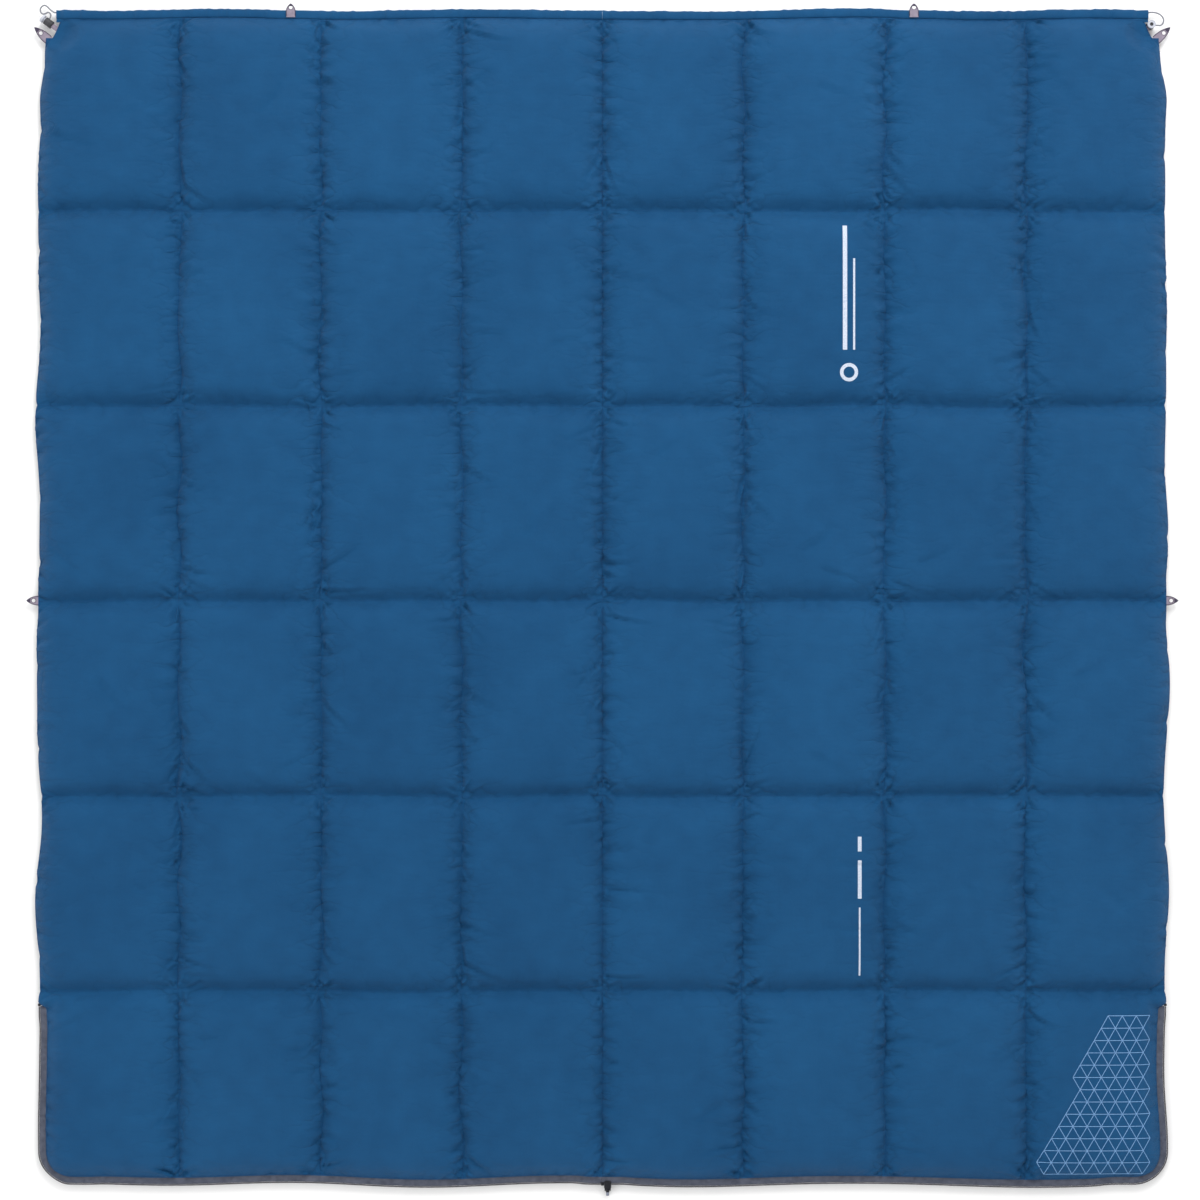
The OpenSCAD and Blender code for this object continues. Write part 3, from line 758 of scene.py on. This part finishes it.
def make_fill(shell, lining, mats):
    """Down clusters: one closed lump in each cell, in the room that the sewn fabric leaves."""
    steps = 14
    rim_in = 0.15
    line = np.linspace(rim_in, 1 - rim_in, steps)
    u, v = np.meshgrid(line, line)
    edge = (0.5 - rim_in - np.maximum(np.abs(u - 0.5), np.abs(v - 0.5))) / (0.5 - rim_in)
    body = np.clip(edge * 1.6, 0, 1) ** 0.5
    nearby = (-0.05, 0.0, 0.05)
    for name, side in SIDES.items():
        for column in range(1, COLUMNS // 2 + 1):
            first = COLUMNS // 2 + column - 1 if side > 0 else COLUMNS // 2 - column
            verts, faces = [], []
            for row in range(ROWS):
                top = cell_points(shell, row + v, first + u)
                low = cell_points(lining, row + v, first + u)
                around = [(row + v + a, first + u + b) for a in nearby for b in nearby]
                top[..., 2] = np.min([cell_points(shell, *spot)[..., 2] for spot in around], axis=0)
                low[..., 2] = np.max([cell_points(lining, *spot)[..., 2] for spot in around], axis=0)
                rough = 0.0016 * waves(top[..., 0], top[..., 1], 0.05, 31 + row)
                middle = (top[..., 2] + low[..., 2]) / 2
                half_up = (top[..., 2] - 0.004 - middle) * body * 0.8 + rough * body
                half_down = (middle - low[..., 2] - 0.003) * body * 0.7
                upper, lower = top.copy(), top.copy()
                upper[..., 2] = middle + np.maximum(half_up, 0.0006)
                lower[..., 2] = middle - np.maximum(half_down, 0.0006)
                start = len(verts) * steps * steps
                verts += [upper, lower]
                faces.append(grid_faces(steps, steps, start))
                faces.append(grid_faces(steps, steps, start + steps * steps)[:, ::-1])
                rim = np.concatenate([np.arange(steps), steps * np.arange(1, steps) + steps - 1,
                                      steps * steps - 2 - np.arange(steps - 1),
                                      steps * np.arange(steps - 2, 0, -1)])
                nxt = np.roll(rim, -1)
                faces.append(start + np.stack([rim, rim + steps * steps, nxt + steps * steps, nxt], -1))
            node = f"down_fill_{name}_{column}"
            verts = np.concatenate([grid.reshape(-1, 3) for grid in verts])
            piece = new_piece(node + "_clusters", verts, np.concatenate(faces))
            by_fold = side < 0 and column == 1
            place(piece, node, half_body(side), mats["down"], "down", crosses_fold=by_fold)


def stitches(line, lift, pitch=0.004, length=0.0028):
    """Start and end points of stitches along a line of points."""
    steps = np.linalg.norm(np.diff(line, axis=0), axis=1)
    run = np.concatenate([[0], np.cumsum(steps)])
    starts = np.arange(pitch / 2, run[-1] - pitch, pitch)
    def at(s):
        return np.stack([np.interp(s, run, line[:, k]) for k in range(3)], -1) + [0, 0, lift]
    return at(starts), at(starts + length)


def make_thread(shell, lining, mats):
    """Lockstitch along every seam, needle thread on top and bobbin below, and the shell's hem."""
    radius = 0.00034
    for name, side in SIDES.items():
        starts, ends = [], []
        for grid, lift in ((shell, radius * 0.7), (lining, -radius * 0.7)):
            across = (grid.shape[1] - 1) // COLUMNS
            along = (grid.shape[0] - 1) // ROWS
            middle = COLUMNS // 2
            columns = range(middle, COLUMNS) if side > 0 else range(1, middle)
            half = half_grid(grid, side)
            lines = [grid[:, c * across] for c in columns]
            lines += [half[k * along] for k in range(1, ROWS)]
            if grid is shell:
                lines += [half[1], half[-2], half[:, -2 if side > 0 else 1]]
            for line in lines:
                a, b = stitches(line, lift)
                starts.append(a)
                ends.append(b)
        node = f"quilting_thread_{name}"
        piece = capsules(node + "_stitches", np.concatenate(starts), np.concatenate(ends), radius, 4)
        place(piece, node, half_body(side), mats["thread"], "thread", crosses_fold=side < 0)


# ---------- neck edge ----------

def make_channel(mats):
    """Drawcord tunnel, gently rippled by the elastic, with its tongue sewn under the shell."""
    width = NECK_Y - FABRIC_NECK_Y
    sides = 22
    length_steps = 360
    x = np.linspace(0.0001, CHANNEL_END_X, length_steps)
    turn = np.arange(sides) * 2 * math.pi / sides
    flat_y = np.sign(np.cos(turn)) * np.abs(np.cos(turn)) ** 0.75 * width / 2
    flat_z = np.sign(np.sin(turn)) * np.abs(np.sin(turn)) ** 0.85 * 0.0031
    for name, side in SIDES.items():
        gathers = 0.00065 * waves(side * x, 0 * x, 0.014, 41) + 0.0009 * waves(side * x, 0 * x, 0.05, 42)
        ripple = np.maximum(gathers, -0.0012)[:, None]
        y = (FABRIC_NECK_Y + NECK_Y) / 2 + flat_y[None] * (1 + 60 * ripple)
        z = SEAM_Z + flat_z[None] + ripple * np.sin(turn)[None]
        tunnel = wander(np.stack([np.repeat(side * x[:, None], sides, 1), y, z], -1))
        tongue_y = np.linspace(FABRIC_NECK_Y + 0.0012, FABRIC_NECK_Y - 0.006, 4)
        tongue = wander(np.stack(np.broadcast_arrays(side * x[:, None], tongue_y[None], SEAM_Z), -1))
        faces = grid_faces(length_steps, sides, wrap=True)
        more = grid_faces(length_steps, 4, first=length_steps * sides)
        verts = np.concatenate([tunnel.reshape(-1, 3), tongue.reshape(-1, 3)])
        faces = np.concatenate([faces, more])
        node = f"neck_channel_{name}"
        piece = new_piece(node + "_tunnel", verts, faces if side > 0 else faces[:, ::-1])
        place(piece, node, half_body(side), mats["shell"], "shell_fabric", crosses_fold=side < 0)
        cord_x = np.linspace(0.0002, CHANNEL_END_X, 240)
        route = wander(np.stack([side * cord_x, 0 * cord_x + NECK_Y - 0.0045, 0 * cord_x + SEAM_Z], -1))
        cord = tube(f"drawcord_{name}_braid", route, 0.0013, 8)
        node = f"drawcord_{name}"
        place(cord, node, half_body(side), mats["cord"], "elastic_cord", crosses_fold=side < 0)


# The free ends of the drawcord: X from the middle of the quilt, Y from the neck edge, Z from the ground.
CORD_D = 0.0026
RIGHT_CORD = [
    (0.929, -0.0045, 0.012), (0.934, -0.004, 0.012), (0.939, -0.004, 0.011), (0.945, -0.005, 0.010),
    (0.951, -0.008, 0.009), (0.955, -0.013, 0.009), (0.956, -0.018, 0.009), (0.954, -0.023, 0.010),
    (0.950, -0.026, 0.011), (0.945, -0.026, 0.012), (0.9382, -0.026, 0.012),
]
LEFT_CORD = [
    (-0.929, -0.0045, 0.012), (-0.933, -0.004, 0.012), (-0.937, -0.0015, 0.012), (-0.941, 0.002, 0.011),
    (-0.945, 0.006, 0.010), (-0.9495, 0.0085, 0.009), (-0.954, 0.007, 0.009), (-0.957, 0.003, 0.009),
    (-0.957, -0.001, 0.009), (-0.955, -0.005, 0.009), (-0.951, -0.0065, 0.010), (-0.947, -0.0055, 0.011),
    (-0.944, -0.004, 0.012), (-0.941, -0.005, 0.012), (-0.939, -0.008, 0.012), (-0.939, -0.011, 0.012),
    (-0.9398, -0.013, 0.012), (-0.9419, -0.0158, 0.012),
]


def make_corner_cords(mats):
    for name, points in (("right", RIGHT_CORD), ("left", LEFT_CORD)):
        points = np.array(points) + [0, NECK_Y, 0]
        route = smooth_route(points, 5)
        cord = tube(f"corner_cord_{name}_braid", route, CORD_D / 2, 14)
        place(cord, f"corner_cord_{name}", half_body(SIDES[name]), mats["cord"], "elastic_cord")


# ---------- zip ----------

def zip_path(run, inset):
    """Points at distances run along the zip's outer edge from the middle, moved in by inset."""
    straight = HALF_W - FOOT_CORNER_R
    arc = FOOT_CORNER_R * math.pi / 2
    angle = np.clip((run - straight) / FOOT_CORNER_R, 0, math.pi / 2)
    r = FOOT_CORNER_R - inset
    x = np.minimum(run, straight) + r * np.sin(angle)
    y = FOOT_Y + FOOT_CORNER_R - r * np.cos(angle) + np.maximum(run - straight - arc, 0)
    return x, y


def zip_length():
    return HALF_W - FOOT_CORNER_R + FOOT_CORNER_R * math.pi / 2 + ZIP_TOP_Y - FOOT_Y - FOOT_CORNER_R


def make_zip_sides(mats):
    tape_steps = 300
    insets = np.linspace(COIL_W, TAPE_SHOW + 0.0055, 8)
    for name, side in SIDES.items():
        run = np.linspace(0.00003, zip_length(), tape_steps)
        grid = []
        for inset in insets:
            x, y = zip_path(run, inset)
            slack = math.sin(math.pi * min(1, inset / TAPE_SHOW))
            lift = 0.0005 * waves(x, y, 0.05, 51) * slack - 0.0001
            grid.append(np.stack([side * x, y, SEAM_Z + lift], -1))
        grid = wander(np.stack(grid, 1))
        verts, faces = sheet_solid(grid, 0.0008)
        piece = new_piece(f"zip_tape_{name}_woven", verts, faces if side > 0 else faces[:, ::-1])
        place(piece, f"zip_tape_{name}", half_body(side), mats["tape"], "zip_tape", crosses_fold=side < 0)

        teeth = np.arange(ZIP_START_X + 0.001, zip_length() - 0.001, 0.0019)
        ends = []
        for inset in (0.0009, COIL_W - 0.0007):
            x, y = zip_path(teeth, inset)
            ends.append(wander(np.stack([side * x, y, 0 * x + SEAM_Z], -1)))
        coil = capsules(f"zip_coil_{name}_teeth", ends[0], ends[1], 0.00078, 6)
        core_run = np.linspace(ZIP_START_X, zip_length(), 400)
        x, y = zip_path(core_run, COIL_W / 2)
        core = tube("coil_core", wander(np.stack([side * x, y, 0 * x + SEAM_Z], -1)), 0.0006, 6)
        coil = joined(f"zip_coil_{name}_teeth", [coil, core])
        place(coil, f"zip_coil_{name}", half_body(side), mats["coil"], "zip_coil", crosses_fold=side < 0)


def sheet_solid(grid, thickness):
    """Closed sheet of a thickness round a grid of its middle points."""
    nj, ni = grid.shape[:2]
    top = grid + [0, 0, thickness / 2]
    low = grid - [0, 0, thickness / 2]
    count = nj * ni
    rim = np.concatenate([np.arange(ni), ni * np.arange(1, nj) + ni - 1,
                          count - 2 - np.arange(ni - 1), ni * np.arange(nj - 2, 0, -1)])
    nxt = np.roll(rim, -1)
    sides = np.stack([rim, rim + count, nxt + count, nxt], -1)
    faces = [grid_faces(nj, ni), grid_faces(nj, ni, count)[:, ::-1], sides]
    return np.concatenate([top.reshape(-1, 3), low.reshape(-1, 3)]), np.concatenate(faces)


# ---------- flat shapes: loops, slider plates, tabs ----------

def flat_shape(name, outline, holes, thickness, bevel, matrix, material_index=0):
    """A plate with round holes and rounded edges, drawn in its own XY plane and placed by a matrix."""
    curve = bpy.data.curves.new(name, "CURVE")
    curve.dimensions = "2D"
    curve.fill_mode = "BOTH"
    curve.extrude = thickness / 2 - bevel
    curve.bevel_depth = bevel
    curve.bevel_resolution = 2
    curve.offset = -bevel
    rings = [outline]
    for x, y, r in holes:
        turn = np.arange(32) * 2 * math.pi / 32
        rings.append(np.stack([x + r * np.cos(turn), y + r * np.sin(turn)], -1))
    for ring in rings:
        spline = curve.splines.new("POLY")
        spline.points.add(len(ring) - 1)
        for point, (x, y) in zip(spline.points, ring):
            point.co = (x, y, 0, 1)
        spline.use_cyclic_u = True
    holder = bpy.data.objects.new(name, curve)
    bpy.context.scene.collection.objects.link(holder)
    graph = bpy.context.evaluated_depsgraph_get()
    mesh = bpy.data.meshes.new_from_object(holder.evaluated_get(graph))
    bpy.data.objects.remove(holder)
    mesh.transform(Matrix(matrix))
    mesh.shade_flat()
    for face in mesh.polygons:
        face.material_index = material_index
    piece = bpy.data.objects.new(name, mesh)
    bpy.context.scene.collection.objects.link(piece)
    return piece


def frame_at(origin, turn_z=0.0, tilt_x=0.0):
    """A local frame at a point: tilted about X, then turned about Z, in degrees."""
    return (Matrix.Translation(origin) @ Matrix.Rotation(math.radians(turn_z), 4, "Z")
            @ Matrix.Rotation(math.radians(tilt_x), 4, "X"))


def moved(points, matrix):
    m = np.array(matrix)
    return np.asarray(points, float) @ m[:3, :3].T + m[:3, 3]


side_loop_low, side_loop_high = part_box("side_loop_right")
neck_loop_low, neck_loop_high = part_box("neck_loop_right")
LOOP_W = side_loop_high.y - side_loop_low.y
LOOP_T = side_loop_high.z - side_loop_low.z
SIDE_LOOP_OUT = side_loop_high.x - HALF_W
CORNER_LOOP_OUT = 0.028
NECK_LOOP_OUT = neck_loop_high.y - NECK_Y
NECK_LOOP_Z = (neck_loop_low.z + neck_loop_high.z) / 2
SEWN_IN = 0.006
HOLE_R = 0.0032


def leaf_edge(out, steps=12):
    """One side of the pointed leaf, from its shoulder at half width to its tip."""
    half = LOOP_W / 2
    r = (out * out + half * half) / (2 * half)
    last = math.asin(out / r)
    turn = np.linspace(0, last, steps)
    return np.stack([half - r + r * np.cos(turn), r * np.sin(turn)], -1)


def paint(piece, index):
    """Gives every face of a piece one of its materials."""
    for face in piece.data.polygons:
        face.material_index = index


def make_loop(node, out, root, hole_y, at, turn, body, mats):
    """Doubled webbing folded to a point, bound with piping, with a thicker folded tip capped in the darker
    piping colour as painted shade.
    """
    where = frame_at(at, turn)
    right = leaf_edge(out)
    left = (right * [-1, 1])[::-1][1:]
    outline = np.concatenate([[[LOOP_W / 2, -root]], right, left, [[-LOOP_W / 2, -root]]])
    leaf = flat_shape(node + "_leaf", outline, [(0, hole_y, HOLE_R)], LOOP_T, 0.0002, where)
    # The cap adds the thickness of the extra folded layers; its darker piping colour is painted shade in the
    # fold.
    tip = outline[outline[:, 1] > out * 0.62]
    cap = flat_shape("tip", tip, [], LOOP_T + 0.0005, 0.0002, where, 1)
    foot = -0.8 * root
    rim = np.concatenate([[[LOOP_W / 2, foot]], right, left, [[-LOOP_W / 2, foot]]])
    piping = tube("piping", moved(np.column_stack([rim * 0.985, 0 * rim[:, 0]]), where), 0.0008, 8)
    paint(piping, 1)
    angle = np.linspace(0, 2 * math.pi, 40)
    eye_r = HOLE_R + 0.0006
    eye = [eye_r * np.cos(angle), hole_y + eye_r * np.sin(angle), 0 * angle + LOOP_T / 2]
    stitched = tube("stitch", moved(np.stack(eye, -1), where), 0.0004, 6)
    paint(stitched, 1)
    loop = joined(node + "_leaf", [leaf, cap, piping, stitched])
    place(loop, node, body, (mats["webbing"], mats["piping"]), "webbing")


def make_loops(mats):
    for name, side in SIDES.items():
        body = half_body(side)
        make_loop(f"side_loop_{name}", SIDE_LOOP_OUT, SEWN_IN, 0.008,
                  (side * HALF_W, ROW_LINES[3], SEAM_Z), -90 * side, body, mats)
        make_loop(f"corner_loop_{name}", CORNER_LOOP_OUT, SEWN_IN, 0.013,
                  (side * (HALF_W - 0.014), NECK_Y - 0.048, SEAM_Z), -48 * side, body, mats)
        make_loop(f"neck_loop_{name}", NECK_LOOP_OUT + 0.004, 0.009, 0.0076,
                  (side * 0.53, NECK_Y - 0.004, NECK_LOOP_Z), 0, body, mats)


# ---------- prints: plain generic marks, laid on the shell ----------

def shell_surface(name):
    mesh = bpy.data.objects[f"outer_shell_{name}_cloth"].data
    points = [v.co for v in mesh.vertices]
    return BVHTree.FromPolygons(points, [list(f.vertices) for f in mesh.polygons])


def lay_ribbon(surface, path, width, across=1, step=0.002, lift=0.0004):
    """A strip of ink along a plan path, following the cloth under it: points and faces."""
    path = np.array(path, float)
    lengths = np.linalg.norm(np.diff(path, axis=0), axis=1)
    run = np.concatenate([[0], np.cumsum(lengths)])
    stations = np.linspace(0, run[-1], max(2, int(run[-1] / step) + 1))
    line = np.stack([np.interp(stations, run, path[:, k]) for k in (0, 1)], -1)
    along = np.gradient(line, axis=0)
    along /= np.linalg.norm(along, axis=1, keepdims=True)
    beside = np.stack([-along[:, 1], along[:, 0]], -1)
    offsets = np.linspace(-width / 2, width / 2, across + 1)
    verts = []
    for point, normal in zip(line, beside):
        for offset in offsets:
            x, y = point + normal * offset
            hit = surface.ray_cast(Vector((x, y, 0.2)), Vector((0, 0, -1)))[0]
            verts.append((x, y, hit.z + lift))
    return verts, grid_faces(len(line), across + 1)


def print_piece(name, side_name, ribbons, material):
    surface = shell_surface(side_name)
    verts, faces = [], []
    for path, width, across in ribbons:
        more, quads = lay_ribbon(surface, path, width, across)
        faces.append(quads + len(verts))
        verts += more
    piece = new_piece(name, verts, np.concatenate(faces), smooth=False)
    place(piece, None, half_body(SIDES[side_name]), material, "shell_fabric")


def ring_path(x, y, radius):
    turn = np.linspace(0, 2 * math.pi, 49)
    return np.stack([x + radius * np.cos(turn), y + radius * np.sin(turn)], -1)


def corner_lattice():
    """Lines of a plain triangle lattice in the right foot corner, cut off along a diagonal."""
    pitch = 0.024
    row_h = pitch * math.sqrt(3) / 2
    low_x, low_y = 0.725, FABRIC_FOOT_Y + 0.007
    high_x = HALF_W - TAPE_SHOW - 0.005
    rows = 14
    cut = 0.42
    spots = {}
    for row in range(rows):
        y = low_y + row * row_h
        for k in range(rows):
            x = low_x + (k + 0.5 * (row % 2)) * pitch
            corner_in = math.hypot(max(x - HALF_W + FOOT_CORNER_R, 0), max(FOOT_Y + FOOT_CORNER_R - y, 0))
            beside_zip = corner_in < FOOT_CORNER_R - TAPE_SHOW - 0.004
            if beside_zip and low_x + cut * (y - low_y) < x < high_x:
                spots[row, k] = (x, y)
    lines = []
    for (row, k), spot in spots.items():
        shift = row % 2
        for other in ((row, k + 1), (row + 1, k + shift), (row + 1, k + shift - 1)):
            if other in spots:
                lines.append(([spot, spots[other]], 0.0011, 1))
    return lines


def bar(x, low_y, high_y, width, across):
    """A straight bar of ink that runs along the quilt's length."""
    return [(x, low_y), (x, high_y)], width, across


def make_prints(mats):
    print_piece("foot_corner_print", "right", corner_lattice(), mats["lattice_ink"])
    x = 0.418
    high = [(ring_path(x, 0.387, 0.0125), 0.006, 2),
            bar(x - 0.007, 0.425, 0.636, 0.0075, 3),
            bar(x + 0.0085, 0.425, 0.58, 0.0035, 2)]
    print_piece("upper_mark_print", "right", high, mats["mark_ink"])
    x = 0.436
    low = [bar(x, -0.636, -0.52, 0.003, 2),
           bar(x, -0.505, -0.44, 0.0065, 3),
           bar(x, -0.425, -0.40, 0.0065, 3)]
    print_piece("lower_mark_print", "right", low, mats["mark_ink"])


# ---------- hardware ----------

def finish_cad(node, material):
    """A CAD node whose shape is right stays, with a better material."""
    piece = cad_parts[node]
    piece.data.materials.clear()
    piece.data.materials.append(material)


def rounded_rectangle(x0, x1, y0, y1, radius, steps=6):
    corners = [(x1 - radius, y1 - radius, 0), (x0 + radius, y1 - radius, 90),
               (x0 + radius, y0 + radius, 180), (x1 - radius, y0 + radius, 270)]
    outline = []
    for x, y, first in corners:
        for k in range(steps + 1):
            a = math.radians(first + 90 * k / steps)
            outline.append((x + radius * math.cos(a), y + radius * math.sin(a)))
    return np.array(outline)


PULL_BAR_Y = FOOT_Y - 0.0084
PULL_DROOP = 40


def make_slider(mats):
    """Two rounded plates on a nose block, with side flanges, lugs and the bar for the pull."""
    low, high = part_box("zip_slider")
    x0, x1 = low.x, high.x
    nose_y = FOOT_Y - 0.007
    half_t = (high.z - low.z) / 2
    plate_t = 0.0013
    parts = []
    outline = rounded_rectangle(x0, x1, nose_y, high.y, 0.0034)
    for face in (1, -1):
        at = frame_at((0, 0, SEAM_Z + face * (half_t - plate_t / 2)))
        parts.append(flat_shape("plate", outline, [], plate_t, 0.0003, at))
        crown = rounded_rectangle(x0 + 0.0022, x1 - 0.0022, nose_y + 0.002, high.y - 0.003, 0.0018)
        ridge = frame_at((0, 0, SEAM_Z + face * (half_t - 0.0001)))
        parts.append(flat_shape("ridge", crown, [], 0.0007, 0.0003, ridge))
    nose = rounded_rectangle(x0 + 0.0004, x1 - 0.0004, nose_y + 0.0004, FOOT_Y - 0.0004, 0.0024)
    parts.append(flat_shape("nose", nose, [], 2 * half_t - plate_t, 0.0002, frame_at((0, 0, SEAM_Z))))
    lug = rounded_rectangle(-0.0016, 0.0028, -0.002, 0.002, 0.0014)
    for x in (x0 + 0.0017, x1 - 0.0017):
        stand = frame_at((x, PULL_BAR_Y, SEAM_Z), 90, 90)
        parts.append(flat_shape("lug", lug, [], 0.0018, 0.0003, stand))
    stations = np.linspace(x0 + 0.0009, x1 - 0.0009, 5)
    parts.append(tube("bar", [(x, PULL_BAR_Y, SEAM_Z) for x in stations], 0.0008, 16))
    slider = joined("zip_slider_body", parts)
    place(slider, "zip_slider", "slider", mats["metal"], "zip_metal")


def make_pull(mats):
    """A small die-cast tongue on the slider's bar, with a folded webbing tail."""
    slider_low, slider_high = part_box("zip_slider")
    middle_x = (slider_low.x + slider_high.x) / 2
    at = frame_at((middle_x, PULL_BAR_Y, SEAM_Z), 0, PULL_DROOP)
    outline = rounded_rectangle(-0.003, 0.003, -0.006, 0.0004, 0.0008)
    tongue = flat_shape("tongue", outline, [], 0.0013, 0.0003, at)
    eye = tube("eye", moved([(x, 0, 0) for x in np.linspace(-0.003, 0.003, 5)], at), 0.00135, 20)
    rib_ys = (-0.0026, -0.0036, -0.0046)
    starts, ends = (moved([(x, y, 0.0006) for y in rib_ys], at) for x in (-0.0018, 0.0018))
    ribs = capsules("ribs", starts, ends, 0.00028, 8)
    place(joined("zip_pull_tongue", [tongue, eye, ribs]), "zip_pull", "pull", mats["metal"], "zip_metal")

    outline = rounded_rectangle(-0.0025, 0.0025, -0.015, -0.0052, 0.0017)
    tail = [flat_shape("tail", outline, [], 0.0014, 0.0004, at)]
    for x in (-0.0016, 0.0016):
        line = moved([(x, -0.0062 - 0.0011 * k, 0.00068) for k in range(8)], at)
        starts = line[:-1] * 0.75 + line[1:] * 0.25
        ends = line[:-1] * 0.25 + line[1:] * 0.75
        tail.append(capsules("stitch", starts, ends, 0.0002, 6))
    place(joined("pull_cord_tail", tail), "pull_cord", "pull", mats["tail"], "elastic_cord")


def make_stop(node, body, mats):
    """A stop crimped over the tape: a rounded block with two crimp ridges across it."""
    low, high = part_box(node)
    middle = (low + high) / 2
    block = flat_shape("block", rounded_rectangle(low.x, high.x, low.y, high.y, 0.0008), [],
                       high.z - low.z, 0.0004, frame_at((0, 0, middle.z)))
    ys = [low.y + (high.y - low.y) * share for share in (0.32, 0.68)]
    ridges = capsules("ridges", [(low.x + 0.0008, y, high.z - 0.0001) for y in ys],
                      [(high.x - 0.0008, y, high.z - 0.0001) for y in ys], 0.0003, 8)
    place(joined(node + "_crimp", [block, ridges]), node, body, mats["metal"], "zip_metal")


RIGHT_LOCK = Matrix.Translation((LOCK_X, NECK_Y - LOCK_IN, SEAM_Z))
LEFT_LOCK = (frame_at((-0.945, NECK_Y - 0.020, SEAM_Z), 143) @ Matrix.Rotation(math.pi / 2, 4, "Y")
             @ Matrix.Rotation(math.pi / 2, 4, "Z"))
BARREL_R = 0.0065
BARREL_BASE = -0.0105
BARREL_TOP = 0.0035
HEAD_R = 0.007
HEAD_TOP = 0.0105


def ring(name, lock, radius, height, thick, sides=12):
    """A closed rounded ring about a lock's axis."""
    turn = np.linspace(0, 2 * math.pi, 65)
    points = moved(np.stack([radius * np.cos(turn), radius * np.sin(turn), 0 * turn + height], -1), lock)
    return tube(name, points, thick, sides)


def make_locks(mats):
    """The barrel and button are the CAD's. Grip rings, a lip and a dished rim are added to them."""
    for name, lock in (("right", RIGHT_LOCK), ("left", LEFT_LOCK)):
        body = half_body(SIDES[name])
        heights = [BARREL_BASE + up for up in (0.0015, 0.0032, 0.0049)]
        grips = [ring("grip", lock, BARREL_R - 0.0001, height, 0.00035) for height in heights]
        grips.append(ring("lip", lock, BARREL_R - 0.0004, BARREL_TOP - 0.0007, 0.0006))
        grips.append(ring("foot", lock, BARREL_R - 0.0005, BARREL_BASE + 0.0003, 0.0006))
        place(joined(f"cord_lock_grips_{name}", grips), None, body, mats["plastic"], "lock_plastic")
        rim = [ring("rim", lock, HEAD_R - 0.0008, HEAD_TOP - 0.0002, 0.0008),
               ring("dish", lock, 0.0034, HEAD_TOP, 0.00045)]
        place(joined(f"cord_lock_rim_{name}", rim), None, f"button_{name}", mats["button"], "button_plastic")
        eyelet = ring("cup", lock, 0.0016, HEAD_TOP - 0.0015, 0.0013)
        eyelet.name = f"cord_lock_cup_{name}"
        place(eyelet, None, f"button_{name}", mats["plastic"], "button_plastic")
        finish_cad(f"cord_lock_body_{name}", mats["plastic"])
        finish_cad(f"cord_lock_spring_{name}", mats["spring"])
        finish_cad(f"cord_lock_button_{name}", mats["button"])


def make_hardware(mats):
    make_slider(mats)
    make_pull(mats)
    make_stop("zip_bottom_stop", "right_half", mats)
    for name, side in SIDES.items():
        make_stop(f"zip_top_stop_{name}", half_body(side), mats)
        finish_cad(f"lock_tab_{name}", mats["webbing"])
    make_locks(mats)


def ink(name, color, worn):
    """Screen-print ink: thin, slightly patchy where the weave shows through."""
    n = Nodes(name, Specular_IOR_Level=0.25)
    patchy = n.noise(900, 4.0)
    color = n.ramp(patchy, (0.35, worn), (0.6, color))
    rough = n.plus(n.times(patchy, 0.2), 0.5)
    return n.finish(color, rough, n.noise(1700, 2.0), 0.3, 0.0002)


def make_materials():
    return {
        "shell": woven_fabric("shell_taffeta", linear(20, 83, 130), linear(9, 70, 114), 0.0006, 0.05, 0.48),
        "lining": woven_fabric("lining_taffeta", linear(74, 78, 84), linear(58, 61, 67), 0.0007, 0.1, 0.5),
        "down": clustered_down("down_clusters"),
        "thread": twisted_thread("quilting_thread", linear(20, 80, 134), linear(8, 52, 98)),
        "webbing": webbing_material("loop_webbing", linear(150, 140, 154), linear(122, 112, 128), 0.0011),
        "piping": webbing_material("loop_piping", linear(70, 62, 84), linear(44, 38, 58), 0.0008),
        "tape": webbing_material("zip_tape", linear(88, 93, 108), linear(60, 65, 80), 0.0009),
        "coil": moulded("zip_coil_nylon", linear(30, 28, 38), linear(60, 58, 68), 0.42),
        "metal": metal("zip_black_oxide", linear(40, 41, 46), linear(98, 100, 106), 0.35),
        "spring": metal("spring_steel", linear(176, 178, 182), linear(130, 132, 136), 0.25),
        "plastic": moulded("lock_acetal", linear(22, 22, 26), linear(76, 76, 82), 0.42),
        "button": moulded("button_nylon", linear(164, 168, 180), linear(212, 214, 222), 0.4),
        "lattice_ink": ink("lattice_ink", linear(128, 168, 212), linear(88, 134, 184)),
        "mark_ink": ink("mark_ink", linear(206, 212, 224), linear(160, 176, 200)),
        "tail": webbing_material("pull_tail", linear(150, 157, 174), linear(114, 121, 140), 0.0008),
        "cord": braided_cord("drawcord_braid", linear(140, 142, 150), linear(78, 80, 92), 0.004, 0.0013),
    }


# ---------- the whole quilt ----------

def main():
    make_camera()
    make_stage()
    make_light()
    mats = make_materials()
    make_corner_cords(mats)
    shell = quilted_sheet(*SHELL_STEPS, SEAM_Z + SEW_GAP, LOFT_Z, SEAM_Z + SEW_GAP / 2, 0.1, 61)
    shell[..., 2] = soft_ceiling(shell[..., 2], 0.6 * LOFT_Z, 0.98 * LOFT_Z)
    soften_rows(shell)
    press_creases(shell, *SHELL_STEPS)
    flatten_at_locks(shell)
    np.maximum(shell[..., 2], SEAM_Z + 0.9 * SEW_GAP, out=shell[..., 2])
    lining_top = SEAM_Z - SEW_GAP / 2
    lining = quilted_sheet(*LINING_STEPS, SEAM_Z - SEW_GAP, 0.0008, 0.0004, lining_top, 71, edge_in=0.003)
    make_layers(shell, lining, mats)
    make_fill(shell, lining, mats)
    make_thread(shell, lining, mats)
    make_channel(mats)
    make_zip_sides(mats)
    make_loops(mats)
    make_hardware(mats)
    make_prints(mats)


main()
